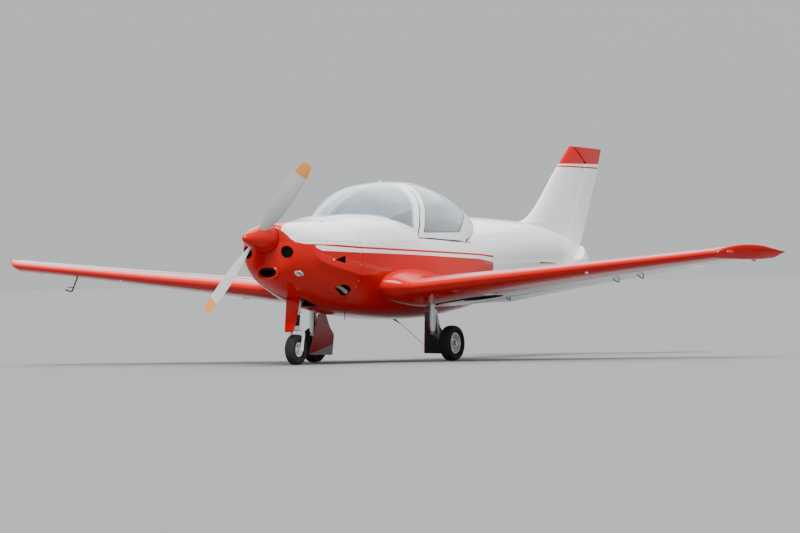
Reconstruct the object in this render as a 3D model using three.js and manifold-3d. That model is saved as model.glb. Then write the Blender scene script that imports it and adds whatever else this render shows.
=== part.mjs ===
// Two-seat low-wing light aircraft with tricycle gear, as a three.js scene graph.
// Units are millimetres. +X is to port, +Z up, and the nose points along -Y.
// Places are written as x (to port), s (the station, aft of the spinner's tip) and z (above the ground).

import * as THREE from 'three';
import { mergeVertices } from 'three/addons/utils/BufferGeometryUtils.js';
import Module from 'manifold-3d';

const wasm = await Module();
wasm.setup();

// Driving dimensions

const LENGTH = 6250;
const HALF_SPAN = 3775;
const SEAM = 0.3;
const RUNNING_GAP = 7;
const FAR = 3000;

const SPINNER = { length: 350, radius: 125, wall: 4, axisZ: 1062, fullness: 0.58 };
const PROPELLER = { radius: 790, lean: 40, station: 215, hubRadius: 58, rootRadius: 22 };
const FIREWALL = 1150;
const COWL = { front: 357, wall: 9, splitZ: 1042, splitFall: 0.036, shaftHole: 42, shaftBack: 420 };
const ENGINE = { front: 520, back: 1010, halfWidth: 215, low: 790, high: 1062, mountRadius: 14 };
const INLET = { x: 190, z: 945, radius: 50 };
const LOWER_INLET = { z: 776, halfWidth: 82, halfHeight: 41, lip: 20, front: 366 };
const DUCT = { front: 300, back: 520 };
// Outlets in the lower cowling, in the side view: station, height
const OUTLET = [
  [895, 642],
  [1098, 582],
  [1098, 640],
  [1000, 668],
];
const OUTLET_SPAN = [180, 600];

const LIGHT = { x: 233, z: 764, radius: 23 };

const SKIN = 22;
const CABIN = {
  front: 1190,
  back: 5150,
  floorZ: 500,
  floorBack: 3310,
  coaming: 1800,
  openingBack: 3250,
  sillBack: 2960,
  coamingSill: 1095,
};
// Ramp behind the opening, from the deck down to the sill: station, height
const RAMP = [
  [3190, 1083],
  [3100, 1062],
  [3000, 1022],
];
const SEATS = { x: 214, front: 2330, back: 2755, high: 95 };
const SILL = { station: 2030, z: 1050, fall: 2.6 };
const CANOPY = { gap: 6, travel: 750, deckFrom: 2750, runners: [2140, 2860] };
// Shares of the slide at which the canopy is trimmed to clear the deck
const SLIDE_SHARES = [0, 0.05, 0.1, 0.13, 0.16, 0.25, 0.38, 0.5, 0.75, 1];
const GLASS = 6;
// Side window: the outline's rear edge as station and height, and the strip between the windows in plan
const WINDOW = {
  bottom: 1092,
  top: 1650,
  rear: [
    [2785, 1092],
    [2930, 1173],
    [3060, 1225],
    [3200, 1290],
    [3330, 1345],
  ],
  strip: [
    [75, 2000],
    [245, 3500],
  ],
};
const FRAME_WALL = 18;

const WING = { hingeChord: 0.72, flapRoot: 610, flapTip: 2250, aileronTip: 3560 };
const LUGS_AT = { flap: [990, 2120], aileron: [2370, 3500], elevator: [230, 880], rudder: [0.16, 0.9] };
const TAIL = { z: 765, semiSpan: 1230, hingeStation: 5640, elevatorRoot: 122 };
const RUDDER_HINGE = { lowStation: 5420, lowZ: 850, highStation: 5943, highZ: 1705 };
const RUDDER_NOSE = { low: 36, high: 24, ahead: 43, notch: 51, footRise: 8 };

const MAIN_WHEEL = { x: 680, station: 2262, radius: 150, width: 100, rim: 90, axle: 12 };
const NOSE_WHEEL = { station: 815, radius: 128, width: 88, rim: 62, axle: 9 };
const MAIN_LEG = { x: 590, station: 2092, topZ: 560, kneeZ: 265, radius: 23 };
const NOSE_LEG = { topStation: 905, topZ: 640, headStation: 838, headZ: 320, radius: 19 };
const NOSE_WELL = { half: 78, front: 772, back: 1060, low: 300, high: 760 };
const NOSE_DOOR = { station: 808, z: 618, ahead: 100, fall: 343, topHalf: 74, footHalf: 43, thick: 4 };
const GEAR_WELL = { ahead: 45, behind: 60, wheelX: 1010, wheelStation: 2230, wheelRadius: 172 };
const PITOT = { x: 2900, chord: 0.28, radius: 6 };

// Finishes

const finish = (color, roughness, metalness = 0) => ({ color, roughness, metalness });
const RED = finish(0xc01414, 0.2);
const WHITE = finish(0xf1f1ee, 0.22);
const GLAZING = { ...finish(0xa9bcc4, 0.08), transparent: true, opacity: 0.35 };
const SILVER = finish(0xb9bcbf, 0.35, 0.8);
const STEEL = finish(0x77797c, 0.45, 0.9);
const BLACK = finish(0x16171a, 0.6);
const TYRE = finish(0x1b1b1c, 0.85);
const BLADE = finish(0xb4b6b6, 0.35, 0.1);
const CLOTH = finish(0x2c2f35, 0.9);
const CASTING = finish(0x4a4c4e, 0.6, 0.7);
const LAMP = finish(0xe7dfc4, 0.1);

// Tables of sections

// Body: station, half width, height of the widest line, top, bottom, squareness above, squareness below
const BODY = [
  [357, 134, 1052, 1184, 905, 2.0, 2.0],
  [378, 205, 995, 1185, 795, 2.1, 2.1],
  [410, 247, 968, 1186, 740, 2.2, 2.2],
  [460, 280, 952, 1187, 697, 2.3, 2.2],
  [560, 325, 938, 1193, 640, 2.4, 2.2],
  [700, 365, 922, 1200, 585, 2.5, 2.2],
  [900, 412, 902, 1208, 525, 2.7, 2.3],
  [1150, 463, 882, 1221, 465, 2.9, 2.5],
  [1400, 497, 875, 1252, 428, 3.0, 2.7],
  [1800, 522, 870, 1262, 388, 3.0, 2.9],
  [2200, 528, 868, 1254, 362, 2.7, 2.9],
  [2600, 515, 866, 1246, 360, 2.4, 2.8],
  [3000, 487, 865, 1240, 385, 2.1, 2.6],
  [3400, 448, 868, 1236, 430, 2.0, 2.5],
  [3800, 402, 874, 1228, 487, 2.0, 2.4],
  [4200, 350, 885, 1212, 545, 2.0, 2.3],
  [4600, 290, 895, 1190, 600, 2.0, 2.2],
  [5000, 225, 900, 1150, 650, 2.0, 2.2],
  [5400, 155, 890, 1075, 692, 2.0, 2.2],
  [5700, 95, 880, 1010, 718, 2.0, 2.2],
  [5850, 60, 860, 958, 735, 2.0, 2.2],
  [5890, 50, 840, 898, 742, 2.0, 2.2],
  [5940, 38, 812, 862, 755, 2.0, 2.2],
];

// Canopy dome: station, half width at the sill, top
const DOME = [
  [980, 46, 1068],
  [1060, 80, 1150],
  [1180, 134, 1229],
  [1350, 206, 1323],
  [1550, 306, 1409],
  [1800, 436, 1488],
  [2100, 496, 1525],
  [2400, 502, 1534],
  [2700, 490, 1526],
  [3000, 445, 1474],
  [3250, 374, 1389],
  [3500, 282, 1285],
  [3700, 193, 1197],
];
const DOME_SQUARENESS = 1.9;

// Wing: x, leading edge station, chord, height of the chord line at 30%, thickness, incidence in degrees
const WING_ROWS = [
  [400, 1405, 1780, 608, 300, 5.5],
  [540, 1428, 1722, 602, 312, 5.5],
  [640, 1462, 1675, 598, 256, 5.4],
  [760, 1478, 1633, 595, 206, 5.3],
  [1020, 1510, 1541, 621, 188, 5.0],
  [1850, 1612, 1249, 704, 149, 4.3],
  [2650, 1710, 967, 785, 119, 3.6],
  [3500, 1814, 668, 868, 97, 3.0],
  [3900, 1864, 564, 908, 88, 2.8],
];

// The tip's end face: it runs aslant in plan and leans inboard below a height.
// The cap is a slice inboard of it
const TIP = { lean: 0.8, leanZ: 880, cap: 70, spreadFrom: 3300, spreadTo: 3700 };
const TIP_EDGE = [
  [3250, 1400],
  [3455, 1790],
  [3560, 1975],
  [3684, 2200],
  [3771, 2440],
  [3840, 2900],
];

// The section spreads towards the tip: share of the chord, rise of the upper face, drop of the lower face
const SECTION = [
  [0, 0, 0],
  [0.015, 1, 0],
  [0.06, 3, 0],
  [0.15, 6, 2],
  [0.3, 9, 14],
  [0.5, 8, 28],
  [0.72, 4, 38],
  [0.93, 2, 38],
  [1, 2, 12],
];

// Fin and rudder together: z, leading edge station, trailing edge station, half thickness
const FIN_ROWS = [
  [830, 4630, 5738, 56],
  [1180, 4640, 5934, 54],
  [1200, 4775, 5945, 53],
  [1235, 4868, 5962, 52],
  [1300, 4978, 5995, 50],
  [1400, 5106, 6046, 46],
  [1600, 5330, 6150, 38],
  [1900, 5700, LENGTH + 27.6, 27],
];

// Tailplane and elevator together: x, leading edge station, chord, thickness
const TAIL_ROWS = [
  [40, 5195, 765, 66],
  [400, 5258, 700, 60],
  [TAIL.semiSpan - 60, 5395, 550, 46],
  [TAIL.semiSpan, 5450, 470, 30],
];

// Small geometry helpers

const radians = THREE.MathUtils.degToRad;
const vec = (x, s, z) => new THREE.Vector3(x, s, z);

function solidFromPoints(points, faces) {
  const corners = new Float32Array(points.flatMap((p) => [p.x, p.y, p.z]));
  let volume = 0;
  for (const [a, b, c] of faces) volume += points[a].dot(points[b].clone().cross(points[c]));
  const wound = volume > 0 ? faces : faces.map(([a, b, c]) => [a, c, b]);
  const triVerts = new Uint32Array(wound.flat());
  return new wasm.Manifold(new wasm.Mesh({ numProp: 3, vertProperties: corners, triVerts }));
}

function solidFromGeometry(geometry) {
  const bare = geometry.index ? geometry.toNonIndexed() : geometry.clone();
  bare.deleteAttribute('normal');
  bare.deleteAttribute('uv');
  const merged = mergeVertices(bare, 1e-3);
  const place = merged.getAttribute('position');
  const corner = (_, i) => new THREE.Vector3().fromBufferAttribute(place, i);
  const points = Array.from({ length: place.count }, corner);
  const index = merged.index.array;
  const faces = [];
  for (let i = 0; i < index.length; i += 3) {
    const face = [index[i], index[i + 1], index[i + 2]];
    if (new Set(face).size === 3) faces.push(face);
  }
  return solidFromPoints(points, faces);
}

function geometryFromSolid(solid, mirrored = false) {
  const mesh = solid.getMesh();
  const corners = Float32Array.from(mesh.vertProperties);
  const faces = Uint32Array.from(mesh.triVerts);
  if (mirrored) {
    for (let i = 0; i < corners.length; i += 3) corners[i] = -corners[i];
    for (let i = 0; i < faces.length; i += 3) [faces[i + 1], faces[i + 2]] = [faces[i + 2], faces[i + 1]];
  }
  const geometry = new THREE.BufferGeometry();
  geometry.setAttribute('position', new THREE.BufferAttribute(corners, 3));
  geometry.setIndex(new THREE.BufferAttribute(faces, 1));
  geometry.computeVertexNormals();
  return geometry;
}

// Skin through closed rings of equal count, with a fan over each end ring. Its triangles mirror about x = 0
function loft(rings) {
  const count = rings[0].length;
  const points = rings.flat();
  const faces = [];
  for (let i = 0; i + 1 < rings.length; i++) {
    for (let j = 0; j < count; j++) {
      const k = (j + 1) % count;
      const [a, b] = [i * count + j, i * count + k];
      const starboard = points[a].x + points[b].x < 0;
      if (starboard) faces.push([a, b, a + count], [b, b + count, a + count]);
      else faces.push([a, b, b + count], [a, b + count, a + count]);
    }
  }
  for (const [start, turn] of [[0, true], [(rings.length - 1) * count, false]]) {
    const middle = points.slice(start, start + count).reduce((sum, p) => sum.add(p), vec(0, 0, 0));
    const centre = points.push(middle.divideScalar(count)) - 1;
    for (let j = 0; j < count; j++) {
      const [a, b] = [start + j, start + ((j + 1) % count)];
      faces.push(turn ? [centre, b, a] : [centre, a, b]);
    }
  }
  return solidFromPoints(points, faces);
}

// Row of a table at any value of its first column, on smooth cubics through the rows
function rowAt(table, value) {
  const last = table.length - 1;
  let i = 0;
  while (i < last - 1 && value > table[i + 1][0]) i++;
  const near = [Math.max(i - 1, 0), i, i + 1, Math.min(i + 2, last)];
  const [before, low, high, after] = near.map((k) => table[k]);
  const span = high[0] - low[0];
  const t = (value - low[0]) / span;
  const [h00, h10] = [2 * t ** 3 - 3 * t ** 2 + 1, t ** 3 - 2 * t ** 2 + t];
  const [h01, h11] = [-2 * t ** 3 + 3 * t ** 2, t ** 3 - t ** 2];
  return low.map((_, c) => {
    if (c === 0) return value;
    const slopeLow = (high[c] - before[c]) / (high[0] - before[0]);
    const slopeHigh = (after[c] - low[c]) / (after[0] - low[0]);
    return h00 * low[c] + h10 * span * slopeLow + h01 * high[c] + h11 * span * slopeHigh;
  });
}

const signedPower = (value, power) => Math.sign(value) * Math.abs(value) ** power;

// Closed squared-oval ring across the aircraft at one station
function ovalRing(count, station, halfWidth, midZ, topZ, bottomZ, above, below) {
  return Array.from({ length: count }, (_, i) => {
    const angle = (2 * Math.PI * i) / count;
    const power = 2 / (Math.sin(angle) >= 0 ? above : below);
    const reach = Math.sin(angle) >= 0 ? topZ - midZ : midZ - bottomZ;
    const x = halfWidth * signedPower(Math.cos(angle), power);
    return vec(x, station, midZ + reach * signedPower(Math.sin(angle), power));
  });
}

function bodyRing(station, grow = 0, count = 24) {
  const [, halfWidth, midZ, top, bottom, above, below] = rowAt(BODY, station);
  return ovalRing(count, station, halfWidth + grow, midZ, top + grow, bottom - grow, above, below);
}

const sillZ = (station) => SILL.z - (station - SILL.station) * Math.tan(radians(SILL.fall));

function domeRing(station, grow = 0) {
  const [, halfWidth, top] = rowAt(DOME, station);
  const sill = sillZ(station);
  return ovalRing(28, station, halfWidth + grow, sill, top + grow, sill - 140, DOME_SQUARENESS, 8);
}

// Straight-sided block between two x values whose outline is given in the side view as [s, z]
function sideBlock(outline, x0, x1) {
  const shape = new THREE.Shape(outline.map(([s, z]) => new THREE.Vector2(s, z)));
  const geometry = new THREE.ExtrudeGeometry(shape, { depth: x1 - x0, bevelEnabled: false });
  const place = new THREE.Matrix4().makeBasis(vec(0, 1, 0), vec(0, 0, 1), vec(1, 0, 0)).setPosition(x0, 0, 0);
  return solidFromGeometry(geometry.applyMatrix4(place));
}

// Straight-sided block between two heights whose outline is given in plan as [x, s]
function planBlock(outline, z0, z1, frame = new THREE.Matrix4()) {
  const shape = new THREE.Shape(outline.map(([x, s]) => new THREE.Vector2(x, s)));
  const geometry = new THREE.ExtrudeGeometry(shape, { depth: z1 - z0, bevelEnabled: false });
  const place = new THREE.Matrix4().makeTranslation(0, 0, z0);
  return solidFromGeometry(geometry.applyMatrix4(place).applyMatrix4(frame));
}

function block(x0, x1, s0, s1, z0, z1) {
  const geometry = new THREE.BoxGeometry(x1 - x0, s1 - s0, z1 - z0);
  return solidFromGeometry(geometry.translate((x0 + x1) / 2, (s0 + s1) / 2, (z0 + z1) / 2));
}

// Round bar, or a cone, from one point to another
function bar(from, to, radius, endRadius = radius, sides = 12) {
  const along = to.clone().sub(from);
  const geometry = new THREE.CylinderGeometry(endRadius, radius, along.length(), sides);
  const turn = new THREE.Quaternion().setFromUnitVectors(vec(0, 1, 0), along.clone().normalize());
  geometry.applyQuaternion(turn);
  const middle = from.clone().add(to).multiplyScalar(0.5);
  return solidFromGeometry(geometry.translate(middle.x, middle.y, middle.z));
}

// Tube along a smooth curve through points
function tube(points, radius, steps, sides = 8) {
  const section = new THREE.Shape(
    Array.from({ length: sides }, (_, i) => {
      const angle = (2 * Math.PI * i) / sides;
      return new THREE.Vector2(radius * Math.cos(angle), radius * Math.sin(angle));
    }),
  );
  const extrudePath = new THREE.CatmullRomCurve3(points, false, 'centripetal');
  return solidFromGeometry(new THREE.ExtrudeGeometry(section, { steps, extrudePath, bevelEnabled: false }));
}

// Turned piece: profile rows are [radius, offset along the axle], the axle lies along X
function turned(profile, centre, segments = 18) {
  const outline = profile.map(([radius, offset]) => new THREE.Vector2(radius, offset));
  const geometry = new THREE.LatheGeometry(outline, segments);
  geometry.rotateZ(-Math.PI / 2).translate(centre.x, centre.y, centre.z);
  return solidFromGeometry(geometry);
}

const mirroredSolid = (solid) => solidFromGeometry(geometryFromSolid(solid, true));
const united = (pieces) => pieces.reduce((whole, piece) => whole.add(piece));
const cut = (solid, tools) => tools.reduce((left, tool) => left.subtract(tool), solid);

// Solids that several pieces share

const COWL_STATIONS = [357, 367, 382, 405, 440, 500, 600, 740, 920, 1150];
const BODY_STATIONS = [
  1150, 1350, 1600, 1900, 2250, 2600, 2900, 3200, 3500, 3850, 4250, 4650, 5050, 5450, 5750, 5850, 5890, 5940,
];
const bodyOuter = (grow) => loft([...COWL_STATIONS, ...BODY_STATIONS.slice(1)].map((s) => bodyRing(s, grow)));
const BODY_CLEARED = bodyOuter(SEAM);

const DOME_STATIONS = [
  980, 1120, 1220, 1350, 1500, 1680, 1880, 2100, 2400, 2680, 2920, 3130, 3320, 3500, 3690,
];
const dome = (grow) => loft(DOME_STATIONS.map((s) => domeRing(s, grow)));

// Edges of the two bows in the side view: height, then the stations of the windscreen's edge,
// of the seam between the bows and of the side window's edge
const BOWS = [
  [900, 1915, 1970, 2010],
  [1045, 1975, 2034, 2098],
  [1110, 2002, 2065, 2138],
  [1209, 2046, 2125, 2206],
  [1371, 2174, 2268, 2358],
  [1490, 2245, 2372, 2468],
  [1650, 2290, 2470, 2580],
];
const [BOW_FRONT, BOW_SEAM, BOW_BACK] = [1, 2, 3];
const aheadOf = (edge, shift = 0) => [
  ...BOWS.map((row) => [row[edge] + shift, row[0]]),
  [700, BOWS.at(-1)[0]],
  [700, BOWS[0][0]],
];

// The cabin's open top, down to the sill that slopes with the canopy's slide
const OPEN_TOP = [
  [CABIN.coaming, CABIN.coamingSill],
  [CABIN.coaming, 1700],
  [CABIN.openingBack, 1700],
  [CABIN.openingBack, 1104],
  ...RAMP,
  [CABIN.sillBack, sillZ(CABIN.sillBack)],
  [SILL.station, SILL.z],
  [SILL.station, CABIN.coamingSill],
];

// Side view of the rudder's half of the tail, and the larger notch that the fin and body leave for it
const hingeStationAt = (z) => {
  const { lowStation, lowZ, highStation, highZ } = RUDDER_HINGE;
  return lowStation + ((highStation - lowStation) * (z - lowZ)) / (highZ - lowZ);
};

function rudderOutline(ahead, gap) {
  const footZ = RUDDER_HINGE.lowZ + RUDDER_NOSE.footRise - gap * 3;
  return [
    [5652 - gap * 1.2, 1885 + gap],
    [RUDDER_HINGE.highStation - ahead - gap * 0.5, RUDDER_HINGE.highZ - gap],
    [hingeStationAt(footZ) - ahead, footZ],
    [5690, 862 - gap],
    [5835 + gap, 985 - gap],
    [6600, 985 - gap],
    [6600, 1885 + gap],
  ];
}

// Fuselage, cowling and engine

// The body's inner space, with a flat floor under the cabin
function hollow(inset) {
  const stations = [CABIN.front, 1500, 1900, 2250, 2600, 2950, 3300, 3700, 4400, CABIN.back];
  const space = loft(stations.map((s) => bodyRing(s, -SKIN - inset, 20)));
  return space.subtract(block(-FAR, FAR, 0, CABIN.floorBack, 0, CABIN.floorZ + inset));
}

function fuselage() {
  const skin = loft(BODY_STATIONS.map((s) => bodyRing(s)));
  const notch = sideBlock(rudderOutline(RUDDER_NOSE.notch, RUNNING_GAP), -FAR, FAR);
  const elevatorBore = bar(vec(-400, TAIL.hingeStation, TAIL.z), vec(400, TAIL.hingeStation, TAIL.z), 17);
  const opening = sideBlock(OPEN_TOP, -FAR, FAR);
  return cut(skin, [hollow(0), opening, notch, elevatorBore]);
}

function noseWell() {
  const { half, front, back, low, high } = NOSE_WELL;
  return block(-half, half, front, back, low, high);
}

function cowlShell(inset = 0) {
  const stations = COWL_STATIONS.map((s) => (s === FIREWALL ? FIREWALL - SEAM : s));
  const inner = [376, 400, 440, 540, 720, 1000, FIREWALL + 20];
  const space = loft(inner.map((s) => bodyRing(s, -COWL.wall)));
  return loft(stations.map((s) => bodyRing(s, -inset))).subtract(space);
}

const lightBeam = (radius) => bar(vec(LIGHT.x, 300, LIGHT.z), vec(LIGHT.x, 620, LIGHT.z), radius, radius, 14);

const landingLight = () => cowlShell(1).intersect(lightBeam(LIGHT.radius - SEAM));

function cowling() {
  const inlets = [-1, 1].map((side) => {
    const x = side * INLET.x;
    return bar(vec(x, DUCT.front, INLET.z), vec(x, DUCT.back, INLET.z), INLET.radius, INLET.radius, 24);
  });
  const [front, back] = [vec(0, DUCT.front, SPINNER.axisZ), vec(0, COWL.shaftBack, SPINNER.axisZ)];
  const shaft = bar(front, back, COWL.shaftHole, COWL.shaftHole, 20);
  const outlet = sideBlock(OUTLET, ...OUTLET_SPAN);
  const shell = cowlShell().add(chinDuct(LOWER_INLET.lip, LOWER_INLET.front, 450));
  const chin = chinDuct(0, DUCT.front, DUCT.back);
  const lamp = lightBeam(LIGHT.radius);
  return cut(shell, [...inlets, chin, shaft, noseWell(), lamp, outlet, mirroredSolid(outlet)]);
}

// Oval prism on the chin inlet's axis, wider than the inlet by a margin
function chinDuct(margin, front, back) {
  const { z, halfWidth, halfHeight } = LOWER_INLET;
  return loft([front, back].map((s) =>
    ovalRing(16, s, halfWidth + margin, z, z + halfHeight + margin, z - halfHeight - margin, 2.2, 2.2)));
}

function cowlHalf(shell, upper) {
  const shift = upper ? SEAM / 2 : -SEAM / 2;
  const splitZ = (s) => COWL.splitZ - (s - COWL.front) * COWL.splitFall + shift;
  const far = upper ? 1600 : 200;
  return shell.intersect(
    sideBlock([[200, splitZ(200)], [1400, splitZ(1400)], [1400, far], [200, far]], -FAR, FAR),
  );
}

function engineBlock() {
  const { front, back, halfWidth, low, high, mountRadius } = ENGINE;
  const crankcase = block(-halfWidth, halfWidth, front, back, low, high);
  const mounts = [[-1, low + 40], [1, low + 40], [-1, high - 40], [1, high - 40]].map(([side, z]) => {
    const x = side * (halfWidth - 40);
    return bar(vec(x, back - 20, z), vec(x, FIREWALL - SEAM, z), mountRadius, mountRadius, 12);
  });
  return united([crankcase, ...mounts]);
}

// Propeller

function spinner() {
  const { length, radius, wall, axisZ, fullness } = SPINNER;
  const curve = (steps, reach, tip) => steps.map((t) => [reach * t ** fullness, tip + (length - tip) * t]);
  const outside = curve([0, 0.02, 0.1, 0.25, 0.45, 0.7, 1], radius, 0);
  const inside = curve([0.85, 0.4, 0.12, 0], radius - wall * 2, wall * 4);
  const back = [[32 + SEAM, length], [32 + SEAM, length - wall], [radius - wall * 2, length - wall]];
  const profile = [...outside, ...back, ...inside].map(([r, s]) => new THREE.Vector2(r, s));
  const shell = solidFromGeometry(new THREE.LatheGeometry(profile, 20).translate(0, 0, axisZ));
  const bladeHoles = [0, 180].map((turn) => {
    const geometry = new THREE.BoxGeometry(112, 62, 150).translate(0, 0, 130);
    return solidFromGeometry(placedOnHub(geometry.rotateZ(radians(52)), turn));
  });
  return cut(shell, bladeHoles);
}

// Turns geometry made round the propeller axis, with the blade up, to its parked angle
function placedOnHub(geometry, turn) {
  return geometry.rotateY(radians(PROPELLER.lean + turn)).translate(0, PROPELLER.station, SPINNER.axisZ);
}

// Blade: radius, chord, thickness, pitch in degrees
const BLADE_ROWS = [
  [60, 52, 40, 62],
  [110, 88, 30, 55],
  [200, 128, 22, 45],
  [330, 146, 17, 36],
  [500, 138, 13, 28],
  [660, 118, 10, 23],
  [750, 96, 8, 21],
  [782, 66, 6, 20],
  [790, 30, 4, 20],
];

function blade(turn) {
  const rings = BLADE_ROWS.map(([radius, chord, thickness, pitch]) =>
    Array.from({ length: 12 }, (_, i) => {
      const angle = (2 * Math.PI * i) / 12;
      const across = (chord / 2) * Math.cos(angle);
      const deep = (thickness / 2) * Math.sin(angle) * (0.75 + 0.25 * Math.cos(angle));
      const [c, s] = [Math.cos(radians(pitch)), Math.sin(radians(pitch))];
      return vec(across * c - deep * s, across * s + deep * c, radius);
    }),
  );
  const root = bar(vec(0, 0, 31 + SEAM), vec(0, 0, 70), PROPELLER.rootRadius);
  const whole = geometryFromSolid(loft(rings).add(root));
  return solidFromGeometry(placedOnHub(whole, turn));
}

function propellerHub() {
  const { station, hubRadius, rootRadius } = PROPELLER;
  const z = SPINNER.axisZ;
  const hub = bar(vec(0, station - 45, z), vec(0, station + 45, z), hubRadius, hubRadius, 24);
  const shaft = bar(vec(0, station, z), vec(0, ENGINE.front - SEAM, z), 32, 32, 20);
  const sockets = [0, 180].map((turn) => {
    const geometry = new THREE.CylinderGeometry(rootRadius + SEAM, rootRadius + SEAM, 60, 12);
    return solidFromGeometry(placedOnHub(geometry.rotateX(Math.PI / 2).translate(0, 0, 61), turn));
  });
  return cut(hub.add(shaft), sockets);
}

// Glass and canopy

function windscreenGlass() {
  const shell = dome(0).subtract(dome(-GLASS));
  const front = shell.intersect(sideBlock(aheadOf(BOW_FRONT, -SEAM), -FAR, FAR));
  return front.subtract(openedBody(SEAM)).subtract(block(-FAR, FAR, 700, 2600, 0, 1000));
}

// The body as the glass meets it: grown by a gap, with the cabin's top open
function openedBody(gap) {
  const outline = OPEN_TOP.map(([s, z]) => [s < 2500 ? s + gap : s - gap, z < 1600 ? z + gap : z]);
  return bodyOuter(gap).subtract(sideBlock(outline, -FAR, FAR));
}

function windscreenBow() {
  const shell = dome(0).subtract(dome(-FRAME_WALL));
  const outlines = [aheadOf(BOW_SEAM, -2), aheadOf(BOW_FRONT)];
  const [upToSeam, upToGlass] = outlines.map((outline) => sideBlock(outline, -FAR, FAR));
  const strip = upToSeam.subtract(upToGlass);
  return shell.intersect(strip).subtract(openedBody(SEAM)).subtract(block(-FAR, FAR, 700, 2600, 0, 1000));
}

// One side window of the canopy, in the side view and in plan
function windowBlock(inset) {
  const { bottom, top, rear, strip } = WINDOW;
  const front = BOWS.filter(([z]) => z > bottom + inset).map((row) => [row[BOW_BACK] + inset * 1.4, row[0]]);
  const foot = rowAt(BOWS, bottom + inset)[BOW_BACK] + inset * 1.4;
  const back = rear.map(([s, z]) => [s - inset * 1.2, z === bottom ? z + inset : z + inset * 0.5]);
  const outline = [[foot, bottom + inset], ...back, [back.at(-1)[0], top], ...front.reverse()];
  const side = sideBlock(outline, 40, 900);
  const [[nearX, nearS], [farX, farS]] = strip;
  const plan = [[nearX + inset, nearS], [farX + inset, farS], [900, farS], [900, nearS]];
  return side.intersect(planBlock(plan, 900, 1800));
}

function canopyShell(outside, inside) {
  const shell = dome(outside).subtract(dome(inside));
  const sillCut = [
    [900, sillZ(900) + CANOPY.gap],
    [4200, sillZ(4200) + CANOPY.gap],
    [4200, 200],
    [900, 200],
  ];
  const deck = loft([3000, 3200, 3400, 3650, 3950, 4300, 4600].map((s) => bodyRing(s, CANOPY.gap)));
  const passed = SLIDE_SHARES.map((share) => {
    const travel = CANOPY.travel * share;
    return deck.translate([0, -travel * Math.cos(radians(SILL.fall)), travel * Math.sin(radians(SILL.fall))]);
  });
  return cut(shell, [
    sideBlock(aheadOf(BOW_SEAM, CANOPY.gap), -FAR, FAR),
    sideBlock(sillCut, -FAR, FAR),
    ...passed.map((space) => space.intersect(block(-FAR, FAR, CANOPY.deckFrom, FAR * 2, 0, FAR))),
  ]);
}

function canopyFrame() {
  const window = windowBlock(0);
  const runners = CANOPY.runners.flatMap((s) => {
    const [, halfWidth] = rowAt(DOME, s);
    const [front, back] = [s - 45, s + 45];
    const low = [[front, sillZ(front) + SEAM], [back, sillZ(back) + SEAM]];
    const runner = sideBlock([...low, [back, SILL.z], [front, SILL.z + 30]], halfWidth - 13, halfWidth - 3);
    return [runner, mirroredSolid(runner)];
  });
  return cut(canopyShell(0, -FRAME_WALL), [window, mirroredSolid(window)]).add(united(runners));
}

function canopyPane() {
  return canopyShell(-1, -1 - GLASS).intersect(windowBlock(SEAM));
}

// Wings, flaps and ailerons

// Half thickness of the section, as a share of its full thickness, at a share of the chord
const fullness = (t) =>
  5 * (0.2969 * Math.sqrt(t) - 0.126 * t - 0.3516 * t ** 2 + 0.2843 * t ** 3 - 0.1036 * t ** 4);
const CAMBER = 0.1;

// Centre line height and half thickness of the wing at a share of the chord
function wingAt(row, t) {
  const [, leading, chord, height, thickness, incidence] = row;
  const fall = (t - 0.3) * chord * Math.tan(radians(incidence));
  const rise = CAMBER * thickness * 4 * t * (1 - t);
  const half = Math.max(thickness * fullness(t), 2);
  return { station: leading + t * chord, z: height - fall + rise, half };
}

function wingRing(x) {
  const row = rowAt(WING_ROWS, x);
  const spread = THREE.MathUtils.smoothstep(x, TIP.spreadFrom, TIP.spreadTo);
  const over = SECTION.slice(1).map(([t, rise, drop]) => [wingAt(row, t), rise * spread, drop * spread]);
  const nose = wingAt(row, 0);
  const upper = over.map(([{ station, z, half }, rise]) => vec(x, station, z + half + rise));
  const lower = over.map(([{ station, z, half }, , drop]) => vec(x, station, z - half - drop));
  return [...lower.reverse(), vec(x, nose.station, nose.z), ...upper];
}

// Moves points to port by their height times a slope, and by a shift
const leaning = (slope, shift) =>
  new THREE.Matrix4().set(1, 0, slope, shift, 0, 1, 0, 0, 0, 0, 1, 0, 0, 0, 0, 1);

// Everything outboard of a line that runs aslant, an inset inboard of the tip's end face
function beyondTip(inset) {
  const edge = TIP_EDGE.map(([x, s]) => [x - inset, s]);
  const outside = [[FAR * 2, TIP_EDGE.at(-1)[1]], [FAR * 2, TIP_EDGE[0][1]]];
  return planBlock([...edge, ...outside], 500, 1300, leaning(TIP.lean, -TIP.lean * TIP.leanZ));
}

// Frame of a hinge line: X runs along the line, Y points aft and Z up
function hingeFrame(from, to) {
  const along = to.clone().sub(from).normalize();
  const up = along.clone().cross(vec(0, 1, 0)).normalize();
  return new THREE.Matrix4().makeBasis(along, up.clone().cross(along), up).setPosition(from);
}

function wingHingePoint(x) {
  const { station, z, half } = wingAt(rowAt(WING_ROWS, x), WING.hingeChord);
  return { point: vec(x, station, z), half };
}

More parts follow.
